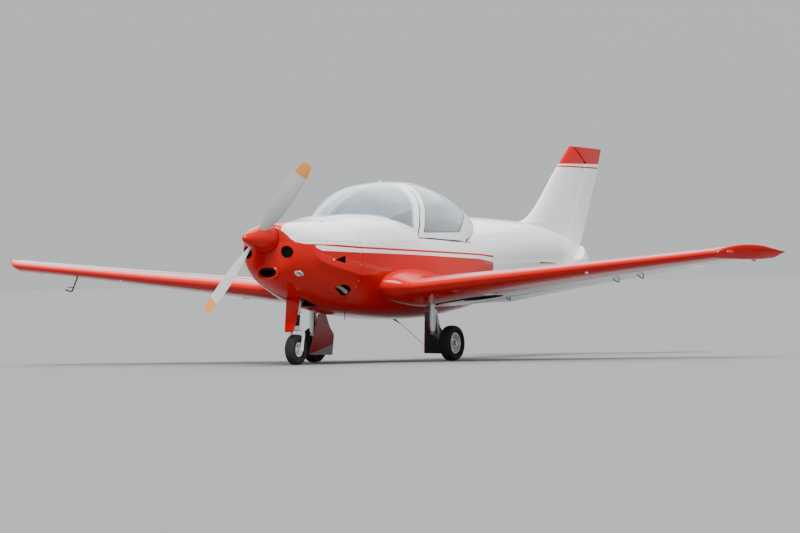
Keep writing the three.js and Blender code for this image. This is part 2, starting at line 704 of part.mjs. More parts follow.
// Splits a moving surface off a whole one, between two distances along a hinge line.
// Returns the surface, the space that it needs and its hinge brackets
function hinged(whole, line, [from, to], [halfFrom, halfTo], bracketsAt) {
  const gap = RUNNING_GAP;
  const [near, far] = [from + gap, to - gap];
  const bay = [[from - 1, -halfFrom - gap], [to + 1, -halfTo - gap], [to + 1, 1200], [from - 1, 1200]];
  const space = planBlock(bay, -400, 400, line);
  const blank = planBlock([[near, 0], [far, 0], [far, 1200], [near, 1200]], -400, 400, line);
  const at = (u) => vec(u, 0, 0).applyMatrix4(line);
  const nose = bar(at(near), at(far), halfFrom - 1, halfTo - 1, 14);
  const brackets = bracketsAt.map((u) => hingeBracket(line, u, Math.max(halfFrom, halfTo)));
  const slots = bracketsAt.map((u) => hingeSlot(line, u));
  return { surface: cut(whole.intersect(blank).add(nose), slots), space, brackets };
}

// Flat lug from the fixed part to the hinge line, rounded about the line
function hingeBracket(frame, along, reach) {
  const shape = new THREE.Shape();
  shape.moveTo(-reach - 60, -9);
  shape.lineTo(0, -9);
  shape.absarc(0, 0, 9, -Math.PI / 2, Math.PI / 2, false);
  shape.lineTo(-reach - 60, 9);
  const geometry = new THREE.ExtrudeGeometry(shape, { depth: 6, bevelEnabled: false, curveSegments: 3 });
  const place = new THREE.Matrix4().makeBasis(vec(0, 1, 0), vec(0, 0, 1), vec(1, 0, 0));
  place.setPosition(along - 3, 0, 0);
  return solidFromGeometry(geometry.applyMatrix4(place).applyMatrix4(frame));
}

function hingeSlot(frame, along) {
  const [near, far] = [along - 3.4, along + 3.4];
  return planBlock([[near, -300], [far, -300], [far, 12], [near, 12]], -300, 300, frame);
}

function gearWell() {
  const { ahead, behind, wheelX, wheelStation, wheelRadius } = GEAR_WELL;
  const leg = block(MAIN_LEG.x - 45, wheelX, MAIN_LEG.station - ahead, MAIN_LEG.station + behind, 300, 610);
  const [low, high] = [vec(wheelX, wheelStation, 300), vec(wheelX, wheelStation, 640)];
  const wheel = bar(low, high, wheelRadius, wheelRadius, 18);
  return leg.add(wheel);
}

function wingPieces() {
  const inboard = [400, 540, 590, 640, 700, 800, 1020, 1850, 2650];
  const spans = [...inboard, TIP.spreadFrom, 3400, 3500, 3600, 3700, 3850];
  const inSpan = block(0, HALF_SPAN, 0, FAR, 0, FAR);
  const withTip = loft(spans.map(wingRing)).subtract(beyondTip(0)).intersect(inSpan);
  const whole = withTip.subtract(beyondTip(TIP.cap + SEAM));
  const [flapIn, joint, aileronOut] = [WING.flapRoot, WING.flapTip, WING.aileronTip].map(wingHingePoint);
  const line = hingeFrame(flapIn.point, aileronOut.point);
  const alongLine = (x) => wingHingePoint(x).point.distanceTo(flapIn.point);
  const [middle, end] = [WING.flapTip, WING.aileronTip].map(alongLine);
  const flap = hinged(whole, line, [0, middle], [flapIn.half, joint.half], LUGS_AT.flap.map(alongLine));
  const lugs = LUGS_AT.aileron.map(alongLine);
  const aileron = hinged(whole, line, [middle, end], [joint.half, aileronOut.half], lugs);
  const fixed = cut(whole, [flap.space, aileron.space, gearWell()]);
  const wing = united([fixed, ...flap.brackets, ...aileron.brackets]).subtract(BODY_CLEARED);
  const wingtip = withTip.intersect(beyondTip(TIP.cap));
  return { wing, wingtip, flap: flap.surface, aileron: aileron.surface };
}

// Tail

const BLUNT_STEPS = [0.02, 0.08, 0.2, 0.38, 0.6, 0.8, 1];

function finWhole() {
  const rings = FIN_ROWS.map(([z, leading, trailing, half]) => {
    const chord = trailing - leading;
    const side = BLUNT_STEPS.map((t) => [leading + t * chord, Math.max(2 * half * fullness(t), 2)]);
    const port = side.map(([s, w]) => vec(w, s, z));
    const starboard = side.map(([s, w]) => vec(-w, s, z));
    return [...starboard.reverse(), vec(0, leading, z), ...port];
  });
  const topCut = sideBlock([[5400, 1873], [6500, 1824], [6500, 2100], [5400, 2100]], -FAR, FAR);
  return loft(rings).subtract(topCut);
}

function finAndRudder() {
  const whole = finWhole();
  const { lowStation, lowZ, highStation, highZ } = RUDDER_HINGE;
  const [low, high] = [vec(0, lowStation, lowZ), vec(0, highStation, highZ)];
  const nose = bar(low, high, RUDDER_NOSE.low, RUDDER_NOSE.high, 16);
  const behind = sideBlock(rudderOutline(RUDDER_NOSE.ahead, 0), -FAR, FAR);
  const trimmedNose = nose.intersect(whole).intersect(behind);
  const rudderSide = whole.intersect(sideBlock(rudderOutline(0, 0), -FAR, FAR)).add(trimmedNose);
  const lugs = LUGS_AT.rudder.map((share) => finLug(low.clone().lerp(high, share), 50));
  const slots = LUGS_AT.rudder.map((share) => finLug(low.clone().lerp(high, share), 300, 3.4, 17));
  const notch = sideBlock(rudderOutline(RUDDER_NOSE.notch, RUNNING_GAP), -FAR, FAR);
  const fin = cut(whole, [notch, BODY_CLEARED]);
  return { fin: united([fin, ...lugs]).subtract(BODY_CLEARED), rudder: cut(rudderSide, slots) };
}

// Flat lug square to the rudder's hinge line, from the fin back to the line
function finLug(point, ahead, half = 3, reach = 9) {
  const { lowStation, lowZ, highStation, highZ } = RUDDER_HINGE;
  const along = vec(0, highStation - lowStation, highZ - lowZ).normalize();
  const forward = vec(0, -along.z, along.y);
  const width = half > 3 ? 300 : 9;
  const frame = new THREE.Matrix4().makeBasis(vec(1, 0, 0), forward, along).setPosition(point);
  const front = 36 + ahead;
  return planBlock([[-width, -reach], [width, -reach], [width, front], [-width, front]], -half, half, frame);
}

function tailRing(row) {
  const [x, leading, chord, thickness] = row;
  const side = BLUNT_STEPS.map((t) => [leading + t * chord, Math.max(thickness * fullness(t), 1.5)]);
  const upper = side.map(([s, h]) => vec(x, s, TAIL.z + h));
  const lower = side.map(([s, h]) => vec(x, s, TAIL.z - h));
  return [...lower.reverse(), vec(x, leading, TAIL.z), ...upper];
}

function tailPieces() {
  const whole = loft(TAIL_ROWS.map(tailRing));
  const hingePoint = (x) => {
    const [, leading, chord, thickness] = rowAt(TAIL_ROWS, x);
    const t = (TAIL.hingeStation - leading) / chord;
    return { point: vec(x, TAIL.hingeStation, TAIL.z), half: thickness * fullness(t) };
  };
  const span = TAIL.semiSpan - TAIL.elevatorRoot + RUNNING_GAP * 2;
  const inner = hingePoint(TAIL.elevatorRoot - RUNNING_GAP);
  const outer = hingePoint(TAIL.semiSpan - 60);
  const line = hingeFrame(inner.point, vec(TAIL.semiSpan, TAIL.hingeStation, TAIL.z));
  const parted = hinged(whole, line, [0, span], [inner.half, outer.half], LUGS_AT.elevator);
  const rootSpace = block(0, TAIL.elevatorRoot, TAIL.hingeStation - inner.half - RUNNING_GAP, 6200, 600, 900);
  const fixed = united([cut(whole, [parted.space, rootSpace]), ...parted.brackets]).subtract(BODY_CLEARED);
  return { fixed, surface: parted.surface };
}

function elevatorTube() {
  const x = TAIL.elevatorRoot - SEAM;
  return bar(vec(-x, TAIL.hingeStation, TAIL.z), vec(x, TAIL.hingeStation, TAIL.z), 11);
}

// Wheels and gear

function tyre(centre, { radius, rim, width }) {
  const half = width / 2;
  const mid = (radius + rim) / 2;
  const reach = (radius - rim) / 2;
  const shoulder = [reach * 0.72, half * 0.86];
  const outline = [
    [radius, half * 0.35], [mid + shoulder[0], shoulder[1]], [mid, half], [rim, half * 0.8],
    [rim, -half * 0.8], [mid, -half], [mid + shoulder[0], -shoulder[1]], [radius, -half * 0.35],
  ];
  return turned([...outline, outline[0]], centre);
}

function hub(centre, { rim, width, axle }) {
  const half = width * 0.36;
  const edge = rim - SEAM;
  const [boss, web] = [axle * 2.4, half * 0.45];
  const rimSide = [[edge - 12, web], [edge - 8, half], [edge, half]];
  const side = [[axle + SEAM, half * 0.9], [boss, half * 0.9], ...rimSide];
  const otherSide = side.map(([radius, offset]) => [radius, -offset]).reverse();
  return turned([...side, ...otherSide, side[0]], centre);
}

function noseStrut() {
  const { topStation, topZ, headStation, headZ, radius } = NOSE_LEG;
  const [top, head] = [vec(0, topStation, topZ), vec(0, headStation, headZ)];
  const leg = bar(top, head, radius);
  const [side, z, rear] = [66, topZ - 12, 1050];
  const cross = [topStation, rear].map((s) => bar(vec(-side, s, z), vec(side, s, z), 13, 13, 10));
  const railEnds = [topStation - 12, FIREWALL - SEAM];
  const rails = [-side, side].map((x) => bar(...railEnds.map((s) => vec(x, s, z)), 12, 12, 10));
  const brace = bar(vec(0, topStation - 36, topZ - 170), vec(0, rear, z), 8, 8, 10);
  const socket = bar(head.clone().lerp(top, -0.02), head.clone().lerp(top, 0.2), 8 + SEAM * 3);
  return united([leg, ...cross, ...rails, brace]).subtract(socket);
}

function noseFork() {
  const { headStation, headZ, topStation, topZ } = NOSE_LEG;
  const axle = vec(0, NOSE_WHEEL.station, NOSE_WHEEL.radius);
  const along = vec(0, topStation - headStation, topZ - headZ).normalize();
  const head = vec(0, headStation, headZ).addScaledVector(along, -0.6);
  const stem = bar(head, head.clone().addScaledVector(along, 55), 8);
  const crown = bar(head.clone().addScaledVector(along, -34), head, 24);
  const side = NOSE_WHEEL.width / 2 + 14;
  const arm = (sign) => tube(
    [
      head.clone().addScaledVector(along, -17),
      vec(sign * side * 0.75, headStation + 2, headZ - 24),
      vec(sign * side, headStation + 6, headZ - 62),
      vec(sign * side, headStation - 4, headZ - 120),
      vec(sign * side, axle.y, axle.z - 4),
    ], 9, 8, 8);
  const pin = bar(vec(-side - 12, axle.y, axle.z), vec(side + 12, axle.y, axle.z), NOSE_WHEEL.axle);
  return united([stem, crown, arm(1), arm(-1), pin]);
}

function noseDoor() {
  const { station, z, ahead, fall, topHalf, footHalf, thick } = NOSE_DOOR;
  const length = Math.hypot(ahead, fall);
  const outline = [[-topHalf, 0], [topHalf, 0], [footHalf, length], [-footHalf, length]];
  const top = vec(0, station, z);
  const down = vec(0, -ahead, -fall).normalize();
  const frame = new THREE.Matrix4().makeBasis(vec(1, 0, 0), down, vec(1, 0, 0).cross(down)).setPosition(top);
  const plate = planBlock(outline, -thick / 2, thick / 2, frame);
  const { topStation, topZ, headStation, headZ, radius } = NOSE_LEG;
  const ties = [0.3, 0.85].map((share) => {
    const leg = vec(0, topStation, topZ).lerp(vec(0, headStation, headZ), share);
    const behind = leg.clone().setY(leg.y - radius * 1.03 - SEAM * 5.5);
    return bar(behind, vec(0, top.y + ((leg.z - top.z) * down.y) / down.z, leg.z), 6, 6, 8);
  });
  return united([plate, ...ties]);
}

function mainLeg() {
  const { x, station, topZ, kneeZ, radius } = MAIN_LEG;
  const leg = bar(vec(x, station, kneeZ - 12), vec(x, station, topZ), radius);
  const [front, back] = [station - GEAR_WELL.ahead + SEAM, station + GEAR_WELL.behind - SEAM];
  const trunnion = bar(vec(x, front, topZ - 6), vec(x, back, topZ - 6), 16);
  const lug = block(x - 12, x + 12, station - 4, station + 62, 408, 436);
  return united([leg, trunnion, lug]);
}

function mainArm() {
  const { x, station, kneeZ } = MAIN_LEG;
  const axle = vec(MAIN_WHEEL.x, MAIN_WHEEL.station, MAIN_WHEEL.radius);
  const inner = MAIN_WHEEL.x - MAIN_WHEEL.width / 2 - 12;
  const knee = vec(x + 2, station, kneeZ - 26);
  const link = bar(knee, vec(inner - 6, axle.y, axle.z), 14);
  const eye = bar(vec(x - 16, station, kneeZ - 26), vec(x + 20, station, kneeZ - 26), 13.5);
  const shock = bar(vec(x + 2, station + 46, 405 - SEAM), vec(x + 12, station + 96, 190), 12);
  const stub = bar(vec(inner - 22, axle.y, axle.z), vec(MAIN_WHEEL.x + 42, axle.y, axle.z), MAIN_WHEEL.axle);
  return united([link, eye, shock, stub]);
}

function mainDoor() {
  const outline = [[2080, 420], [2205, 412], [2290, 300], [2372, 235], [2372, 58], [1984, 70]];
  const plate = sideBlock(outline, 0, 5);
  const door = solidFromGeometry(geometryFromSolid(plate).applyMatrix4(leaning(-0.12, 572)));
  const { x, station, radius } = MAIN_LEG;
  const tie = bar(vec(538, station, 330), vec(x - radius - SEAM, station, 330), 7);
  return door.add(tie);
}

// Cabin fittings and small outside pieces

const instrumentPanel = () =>
  hollow(SEAM).intersect(block(-FAR, FAR, CABIN.coaming - 40, CABIN.coaming - 12, 850, 1400));

// Seat cushion rows: share of its length, half width, share of its height
function seatCushion() {
  const rows = [[0, 120, 0.6], [0.07, 150, 0.85], [0.35, 165, 1], [0.85, 165, 0.95], [1, 158, 0.85]];
  const base = CABIN.floorZ + SEAM;
  return loft(rows.map(([share, half, rise]) => {
    const top = base + SEATS.high * rise;
    const station = THREE.MathUtils.lerp(SEATS.front, SEATS.back, share);
    return ovalRing(16, station, half, (base + top) / 2, top, base, 4, 8).map((p) => p.setX(p.x + SEATS.x));
  }));
}

// Seat back rows: station, height above the floor, half width, half depth
function seatBack() {
  const rows = [
    [2800, SEAM, 135, 32],
    [2850, 140, 190, 40],
    [2925, 350, 195, 38],
    [2975, 500, 165, 34],
    [2998, 560, 110, 22],
  ];
  return loft(rows.map(([s, rise, half, deep]) =>
    Array.from({ length: 16 }, (_, i) => {
      const angle = (2 * Math.PI * i) / 16;
      const across = SEATS.x + half * signedPower(Math.cos(angle), 0.6);
      return vec(across, s + deep * signedPower(Math.sin(angle), 0.7), CABIN.floorZ + rise);
    })));
}

function controlStick() {
  const at = (s, rise) => vec(SEATS.x, s, CABIN.floorZ + rise);
  const foot = bar(at(2250, SEAM), at(2250, 22), 34, 22);
  const stalk = tube([at(2250, 10), at(2240, 150), at(2190, 320)], 11, 5, 8);
  return united([foot, stalk, bar(at(2196, 300), at(2166, 420), 17, 15)]);
}

// From under the engine out through the lower cowl
function exhaustPipe(radius = 19) {
  const [x, s, z] = [ENGINE.halfWidth - 40, 860, ENGINE.low];
  const neck = bar(vec(x, s, z - 30), vec(x, s, z - SEAM), radius, radius, 10);
  const bend = [vec(x, s, z - 14), vec(x + 10, s + 15, z - 80), vec(250, 935, 655)];
  const path = [...bend, vec(310, 1000, 632), vec(352, 1062, 612)];
  return neck.add(tube(path, radius, 8, 10));
}

function bellyAerial() {
  const foot = bar(vec(0, 2430, rowAt(BODY, 2430)[4] + 12), vec(0, 2560, 322), 13, 5, 10);
  return foot.add(bar(vec(0, 2556, 326), vec(0, 3075, 83), 3, 2, 8)).subtract(BODY_CLEARED);
}

// Bent tube under the starboard wing, cut a seam's width clear of its skin
function pitotTube(starboardWing) {
  const { station, z, half } = wingAt(rowAt(WING_ROWS, PITOT.x), PITOT.chord);
  const at = (along, down) => vec(-PITOT.x, station + along, z - half - down);
  const path = [at(0, -6), at(-50, 62), at(-84, 108), at(-110, 120), at(-196, 106)];
  const mast = tube(path, PITOT.radius, 10, 8);
  const upperProng = bar(at(-70, 90), at(-152, 80), PITOT.radius * 0.7, PITOT.radius * 0.7, 8);
  return mast.add(upperProng).subtract(starboardWing.translate([0, 0, -SEAM]));
}

// Assembly

const aircraft = new THREE.Group();
aircraft.position.y = -LENGTH / 2;

function add(name, solid, look, mirrored = false) {
  const mesh = new THREE.Mesh(geometryFromSolid(solid, mirrored), new THREE.MeshStandardMaterial(look));
  mesh.name = name;
  aircraft.add(mesh);
}

function addPair(name, solid, look) {
  add(`${name}_left`, solid, look);
  add(`${name}_right`, solid, look, true);
}

const cowl = cowling();
add('fuselage', fuselage(), WHITE);
add('cowl_upper', cowlHalf(cowl, true), WHITE);
add('cowl_lower', cowlHalf(cowl, false), RED);
add('landing_light', landingLight(), LAMP);
add('engine_block', engineBlock(), CASTING);
add('spinner', spinner(), RED);
add('propeller_hub', propellerHub(), SILVER);
add('blade_1', blade(0), BLADE);
add('blade_2', blade(180), BLADE);

add('windscreen_glass', windscreenGlass(), GLAZING);
add('windscreen_bow', windscreenBow(), WHITE);
add('canopy_frame', canopyFrame(), WHITE);
addPair('canopy_glass', canopyPane(), GLAZING);

const { wing, wingtip, flap, aileron } = wingPieces();
addPair('wing', wing, WHITE);
addPair('wingtip', wingtip, RED);
addPair('flap', flap, WHITE);
addPair('aileron', aileron, WHITE);
add('pitot_tube', pitotTube(mirroredSolid(wing)), BLACK);

const { fin, rudder } = finAndRudder();
add('fin', fin, WHITE);
add('rudder', rudder, WHITE);
const tail = tailPieces();
addPair('tailplane', tail.fixed, WHITE);
addPair('elevator', tail.surface, WHITE);
add('elevator_tube', elevatorTube(), STEEL);

const noseCentre = vec(0, NOSE_WHEEL.station, NOSE_WHEEL.radius);
const mainCentre = vec(MAIN_WHEEL.x, MAIN_WHEEL.station, MAIN_WHEEL.radius);
add('nose_strut', noseStrut(), SILVER);
add('nose_fork', noseFork(), WHITE);
add('nose_door', noseDoor(), RED);
add('nose_tyre', tyre(noseCentre, NOSE_WHEEL), TYRE);
add('nose_hub', hub(noseCentre, NOSE_WHEEL), WHITE);
addPair('main_leg', mainLeg(), SILVER);
addPair('main_arm', mainArm(), SILVER);
addPair('main_door', mainDoor(), RED);
addPair('main_tyre', tyre(mainCentre, MAIN_WHEEL), TYRE);
addPair('main_hub', hub(mainCentre, MAIN_WHEEL), SILVER);

add('instrument_panel', instrumentPanel(), BLACK);
addPair('seat_cushion', seatCushion(), CLOTH);
addPair('seat_back', seatBack(), CLOTH);
addPair('control_stick', controlStick(), BLACK);
addPair('exhaust', exhaustPipe(), STEEL);
add('belly_aerial', bellyAerial(), WHITE);

export default aircraft;
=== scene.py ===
"""Two-seat low-wing light aircraft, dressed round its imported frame. Laid out as a Blender add-on."""

import math

import bpy
import numpy as np
from bpy.props import FloatProperty, FloatVectorProperty, PointerProperty
from mathutils import Matrix


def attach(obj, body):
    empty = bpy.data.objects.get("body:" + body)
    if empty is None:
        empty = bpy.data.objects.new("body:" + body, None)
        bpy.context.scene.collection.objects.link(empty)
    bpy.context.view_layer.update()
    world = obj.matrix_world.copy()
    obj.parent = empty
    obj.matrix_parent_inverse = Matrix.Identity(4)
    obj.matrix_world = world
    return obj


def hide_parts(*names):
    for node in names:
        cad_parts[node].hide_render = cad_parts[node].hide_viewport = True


bl_info = {
    "name": "Two-seat light aircraft",
    "version": (1, 0, 0),
    "blender": (4, 5, 0),
    "location": "View3D > Sidebar > Aircraft",
    "description": "Builds the visible surfaces of a two-seat light aircraft round its frame",
    "category": "Object",
}

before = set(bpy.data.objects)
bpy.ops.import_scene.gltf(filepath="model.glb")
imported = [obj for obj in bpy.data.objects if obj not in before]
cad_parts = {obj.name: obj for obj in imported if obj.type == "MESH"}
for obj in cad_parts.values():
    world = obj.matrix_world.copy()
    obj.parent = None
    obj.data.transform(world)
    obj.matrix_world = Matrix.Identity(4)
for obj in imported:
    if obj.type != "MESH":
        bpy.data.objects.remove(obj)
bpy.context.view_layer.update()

# Sizes are in millimetres: x to port, s the station aft of the spinner's tip, z above the ground

# The station of the frame's origin, and a length beyond every piece
MIDDLE = 3125.0
FAR = 4000.0
FIREWALL = 1150.0

# Station, half width, height of the widest line, top, bottom, squareness above and below that line
BODY = [
    [357, 134, 1052, 1184, 905, 2.0, 2.0],
    [378, 205, 995, 1185, 795, 2.1, 2.1],
    [410, 247, 968, 1186, 740, 2.2, 2.2],
    [460, 280, 952, 1187, 697, 2.3, 2.2],
    [560, 325, 938, 1193, 640, 2.4, 2.2],
    [700, 365, 922, 1200, 585, 2.5, 2.2],
    [900, 412, 902, 1208, 525, 2.7, 2.3],
    [1150, 463, 882, 1221, 465, 2.9, 2.5],
    [1400, 497, 875, 1252, 428, 3.0, 2.7],
    [1800, 522, 870, 1262, 388, 3.0, 2.9],
    [2200, 528, 868, 1254, 362, 2.7, 2.9],
    [2600, 515, 866, 1246, 360, 2.4, 2.8],
    [3000, 487, 865, 1240, 385, 2.1, 2.6],
    [3400, 448, 868, 1236, 430, 2.0, 2.5],
    [3800, 402, 874, 1228, 487, 2.0, 2.4],
    [4200, 350, 885, 1212, 545, 2.0, 2.3],
    [4600, 290, 895, 1190, 600, 2.0, 2.2],
    [5000, 225, 900, 1150, 650, 2.0, 2.2],
    [5400, 155, 890, 1075, 692, 2.0, 2.2],
    [5700, 95, 880, 1010, 718, 2.0, 2.2],
    [5850, 60, 860, 958, 735, 2.0, 2.2],
    [5890, 50, 840, 898, 742, 2.0, 2.2],
    [5940, 38, 812, 862, 755, 2.0, 2.2],
]

# Station, half width, top
DOME = [
    [980, 46, 1068], [1060, 80, 1150], [1180, 134, 1229], [1350, 206, 1323],
    [1550, 306, 1409], [1800, 436, 1488], [2100, 496, 1525], [2400, 502, 1534],
    [2700, 490, 1526], [3000, 445, 1474], [3250, 374, 1389], [3500, 282, 1285],
    [3700, 193, 1197],
]
DOME_SQUARENESS = 1.9

# Span, leading edge's station, chord, height, thickness, incidence in degrees
WING_ROWS = [
    [400, 1405, 1780, 608, 300, 5.5],
    [540, 1428, 1722, 602, 312, 5.5],
    [640, 1462, 1675, 598, 256, 5.4],
    [760, 1478, 1633, 595, 206, 5.3],
    [1020, 1510, 1541, 621, 188, 5.0],
    [1850, 1612, 1249, 704, 149, 4.3],
    [2650, 1710, 967, 785, 119, 3.6],
    [3500, 1814, 668, 868, 97, 3.0],
    [3900, 1864, 564, 908, 88, 2.8],
]

# Span and station along the wing's end
TIP_EDGE = [[3250, 1400], [3455, 1790], [3560, 1975], [3684, 2200], [3771, 2440], [3840, 2900]]
# Share of the chord, then how far the faces rise and drop towards the wing's end
TIP_SPREAD = [
    [0, 0, 0], [0.015, 1, 0], [0.06, 3, 0], [0.15, 6, 2], [0.3, 9, 14],
    [0.5, 8, 28], [0.72, 4, 38], [0.93, 2, 38], [1, 2, 12],
]

# Height, stations of the leading and trailing edge, half thickness
FIN_ROWS = [
    [830, 4630, 5738, 56], [1180, 4640, 5934, 54], [1200, 4775, 5945, 53],
    [1235, 4868, 5962, 52], [1300, 4978, 5995, 50], [1400, 5106, 6046, 46],
    [1600, 5330, 6150, 38], [1900, 5700, 6277.6, 27],
]

# Span, leading edge's station, chord, thickness
TAIL_ROWS = [[40, 5195, 765, 66], [400, 5258, 700, 60], [1170, 5395, 550, 46], [1230, 5450, 470, 30]]

# Radius, chord, thickness, pitch in degrees
BLADE_ROWS = [
    [60, 52, 40, 62], [110, 88, 30, 55], [200, 128, 22, 45], [330, 146, 17, 36], [500, 138, 13, 28],
    [660, 118, 10, 23], [750, 96, 8, 21], [782, 66, 6, 20], [790, 30, 4, 20],
]

# Height, then the stations of the windscreen's edge, the seam and the side window's front edge
BOWS = np.array([
    [900, 1915, 1970, 2010], [1045, 1975, 2034, 2098], [1110, 2002, 2065, 2138],
    [1209, 2046, 2125, 2206], [1371, 2174, 2268, 2358], [1490, 2245, 2372, 2468],
    [1650, 2290, 2470, 2580],
], float)
BOW_FRONT, BOW_SEAM, BOW_BACK = 1, 2, 3
SILL_FALL = math.radians(2.6)
SLIDE = 750
# The side windows' lower edge, and station and height along their rear edge
WINDOW_FOOT = 1092
WINDOW_REAR = np.array([[2785, WINDOW_FOOT], [2930, 1173], [3060, 1225], [3200, 1290], [3330, 1345]], float)
# The propeller's axis and hub, and the angle at which its blades stand
AXIS_Z = 1062.0
HUB_S = 215
PARKED = 40
# Ends of the rudder's hinge line
RUDDER_LOW, RUDDER_HIGH = np.array([0, 5420, 850.0]), np.array([0, 5943, 1705.0])
# Station and height of the elevators' hinge line, and the spans where they begin and end
ELEVATOR_S, TAIL_Z = 5640, 765
ELEVATOR_ROOT, TAIL_TIP = 122, 1230


# Numbers and curves


def rows_at(table, values):
    """Rows of a table at values of its first column, on cubic curves whose slope at each row is
    the slope between the two rows beside it."""
    table = np.asarray(table, float)
    values = np.atleast_1d(np.asarray(values, float))
    last = len(table) - 1
    i = np.clip(np.searchsorted(table[:, 0], values) - 1, 0, last - 1)
    before, low = table[np.maximum(i - 1, 0)], table[i]
    high, after = table[i + 1], table[np.minimum(i + 2, last)]
    span = high[:, :1] - low[:, :1]
    t = (values[:, None] - low[:, :1]) / span
    slope_low = (high - before) / (high[:, :1] - before[:, :1])
    slope_high = (after - low) / (after[:, :1] - low[:, :1])
    rows = (2 * t**3 - 3 * t**2 + 1) * low + (t**3 - 2 * t**2 + t) * span * slope_low
    rows = rows + (3 * t**2 - 2 * t**3) * high + (t**3 - t**2) * span * slope_high
    rows[:, 0] = values
    return rows


def signed_power(values, power):
    """Sign of a value times its size raised to a power."""
    return np.sign(values) * np.abs(values) ** power


def smooth_step(values, low, high):
    """0 below low, 1 above high, and the cubic 3t^2 - 2t^3 between them."""
    t = np.clip((values - low) / (high - low), 0, 1)
    return t * t * (3 - 2 * t)


def curve_through(points, count):
    """Points at even shares of the way along a Catmull-Rom curve through the given points."""
    points = np.asarray(points, float)
    table = np.column_stack([np.arange(len(points)), points])
    fine = rows_at(table, np.linspace(0, len(points) - 1, 40 * len(points)))[:, 1:]
    way = np.concatenate([[0], np.cumsum(np.linalg.norm(np.diff(fine, axis=0), axis=1))])
    even = np.linspace(0, way[-1], count)
    return np.column_stack([np.interp(even, way, fine[:, k]) for k in range(3)])


# Grids: arrays of points, rings along the first axis and round a ring along the second


def oval_rings(stations, half, middle, top, bottom, above, below, count):
    """Squared ovals across the aircraft: x = half * cos(a)^(2/n) and z = middle + reach * sin(a)^(2/n),
    where reach and n differ above and below the widest line."""
    rows = np.broadcast_arrays(stations, half, middle, top, bottom, above, below)
    station, half, middle, top, bottom, above, below = (np.asarray(row, float)[:, None] for row in rows)
    angle = 2 * np.pi * np.arange(count) / count
    cos, sin = np.cos(angle), np.sin(angle)
    power = np.where(sin >= 0, 2 / above, 2 / below)
    reach = np.where(sin >= 0, top - middle, middle - bottom)
    x = half * signed_power(cos, power)
    z = middle + reach * signed_power(sin, power)
    return np.stack(np.broadcast_arrays(x, station, z), -1)


def body_rings(stations, grow, count=96):
    """Rings of the body, grown outwards all round."""
    _, half, middle, top, bottom, above, below = rows_at(BODY, stations).T
    return oval_rings(stations, half + grow, middle, top + grow, bottom - grow, above, below, count)


def sill_z(station):
    """Height of the canopy's sill, a straight line that falls 2.6 degrees aft."""
    return 1050 - (np.asarray(station, float) - 2030) * math.tan(SILL_FALL)


def dome_rings(stations, grow):
    """Rings of the canopy's dome, upright ovals that stand on the sill line."""
    _, half, top = rows_at(DOME, stations).T
    sill = sill_z(stations)
    return oval_rings(stations, half + grow, sill, top + grow, sill - 140, DOME_SQUARENESS, 8, 128)


def swept(points, radii, sides, flatten=1.0):
    """Circles carried along a line of points: each ring lies across the line's own direction, and
    its axes turn with the line without twisting."""
    points = np.asarray(points, float)
    radii = np.broadcast_to(np.asarray(radii, float), (len(points),))
    ahead = np.gradient(points, axis=0)
    ahead /= np.linalg.norm(ahead, axis=1, keepdims=True)
    start = np.eye(3)[np.argmin(np.abs(ahead[0]))]
    across = np.zeros_like(points)
    for i in range(len(points)):
        start = start - ahead[i] * (start @ ahead[i])
        start = start / np.linalg.norm(start)
        across[i] = start
    beside = np.cross(ahead, across)
    angle = 2 * np.pi * np.arange(sides) / sides
    up, aside = np.cos(angle)[None, :, None], np.sin(angle)[None, :, None]
    ring = across[:, None] * up + flatten * beside[:, None] * aside
    return points[:, None] + radii[:, None, None] * ring


def lathe_rings(profile, centre, axis, sides):
    """A profile of (radius, offset along the axis) turned round that axis through a centre."""
    profile = np.asarray(profile, float)
    angle = 2 * np.pi * np.arange(sides) / sides
    grid = [profile[:, :1] * np.cos(angle), profile[:, :1] * np.sin(angle)]
    grid.insert("xsz".index(axis), np.broadcast_to(profile[:, 1:2], grid[0].shape))
    return np.stack(grid, -1) + np.asarray(centre, float)


# Meshes


def new_object(name, points, faces):
    """An object at the origin whose mesh holds the points, turned from millimetres into metres."""
    points = (np.asarray(points, float) - [0, MIDDLE, 0]) / 1000
    mesh = bpy.data.meshes.new(name)
    mesh.from_pydata(points.tolist(), [], faces)
    mesh.update()
    piece = bpy.data.objects.new(name, mesh)
    bpy.context.scene.collection.objects.link(piece)
    return piece


def facing_out(points, faces):
    """The faces, all turned over when the volume they enclose comes out negative: the sum, over each
    face's fan of triangles, of the boxes that their corners span from the first point."""
    volume = 0.0
    for count in {len(face) for face in faces}:
        corners = points[[face for face in faces if len(face) == count]] - points[0]
        volume += np.sum(np.cross(corners[:, 1:-1], corners[:, 2:]) * corners[:, :1])
    return faces if volume > 0 else [face[::-1] for face in faces]


def skin(name, rings, looped=False):
    """A closed surface over rings of points: a quad between each four neighbours, and a face over
    each end ring, or quads from the last ring to the first when it is looped."""
    rows, count = rings.shape[:2]
    last = rows if looped else rows - 1
    index = np.arange(rows * count).reshape(rows, count)
    beside = np.roll(index, -1, axis=1)
    behind, across = np.roll(index, -1, axis=0), np.roll(beside, -1, axis=0)
    quads = np.stack([index[:last], beside[:last], across[:last], behind[:last]], -1).reshape(-1, 4)
    faces = quads.tolist() + ([] if looped else [index[0, ::-1].tolist(), index[-1].tolist()])
    points = rings.reshape(-1, 3)
    return new_object(name, points, facing_out(points, faces))


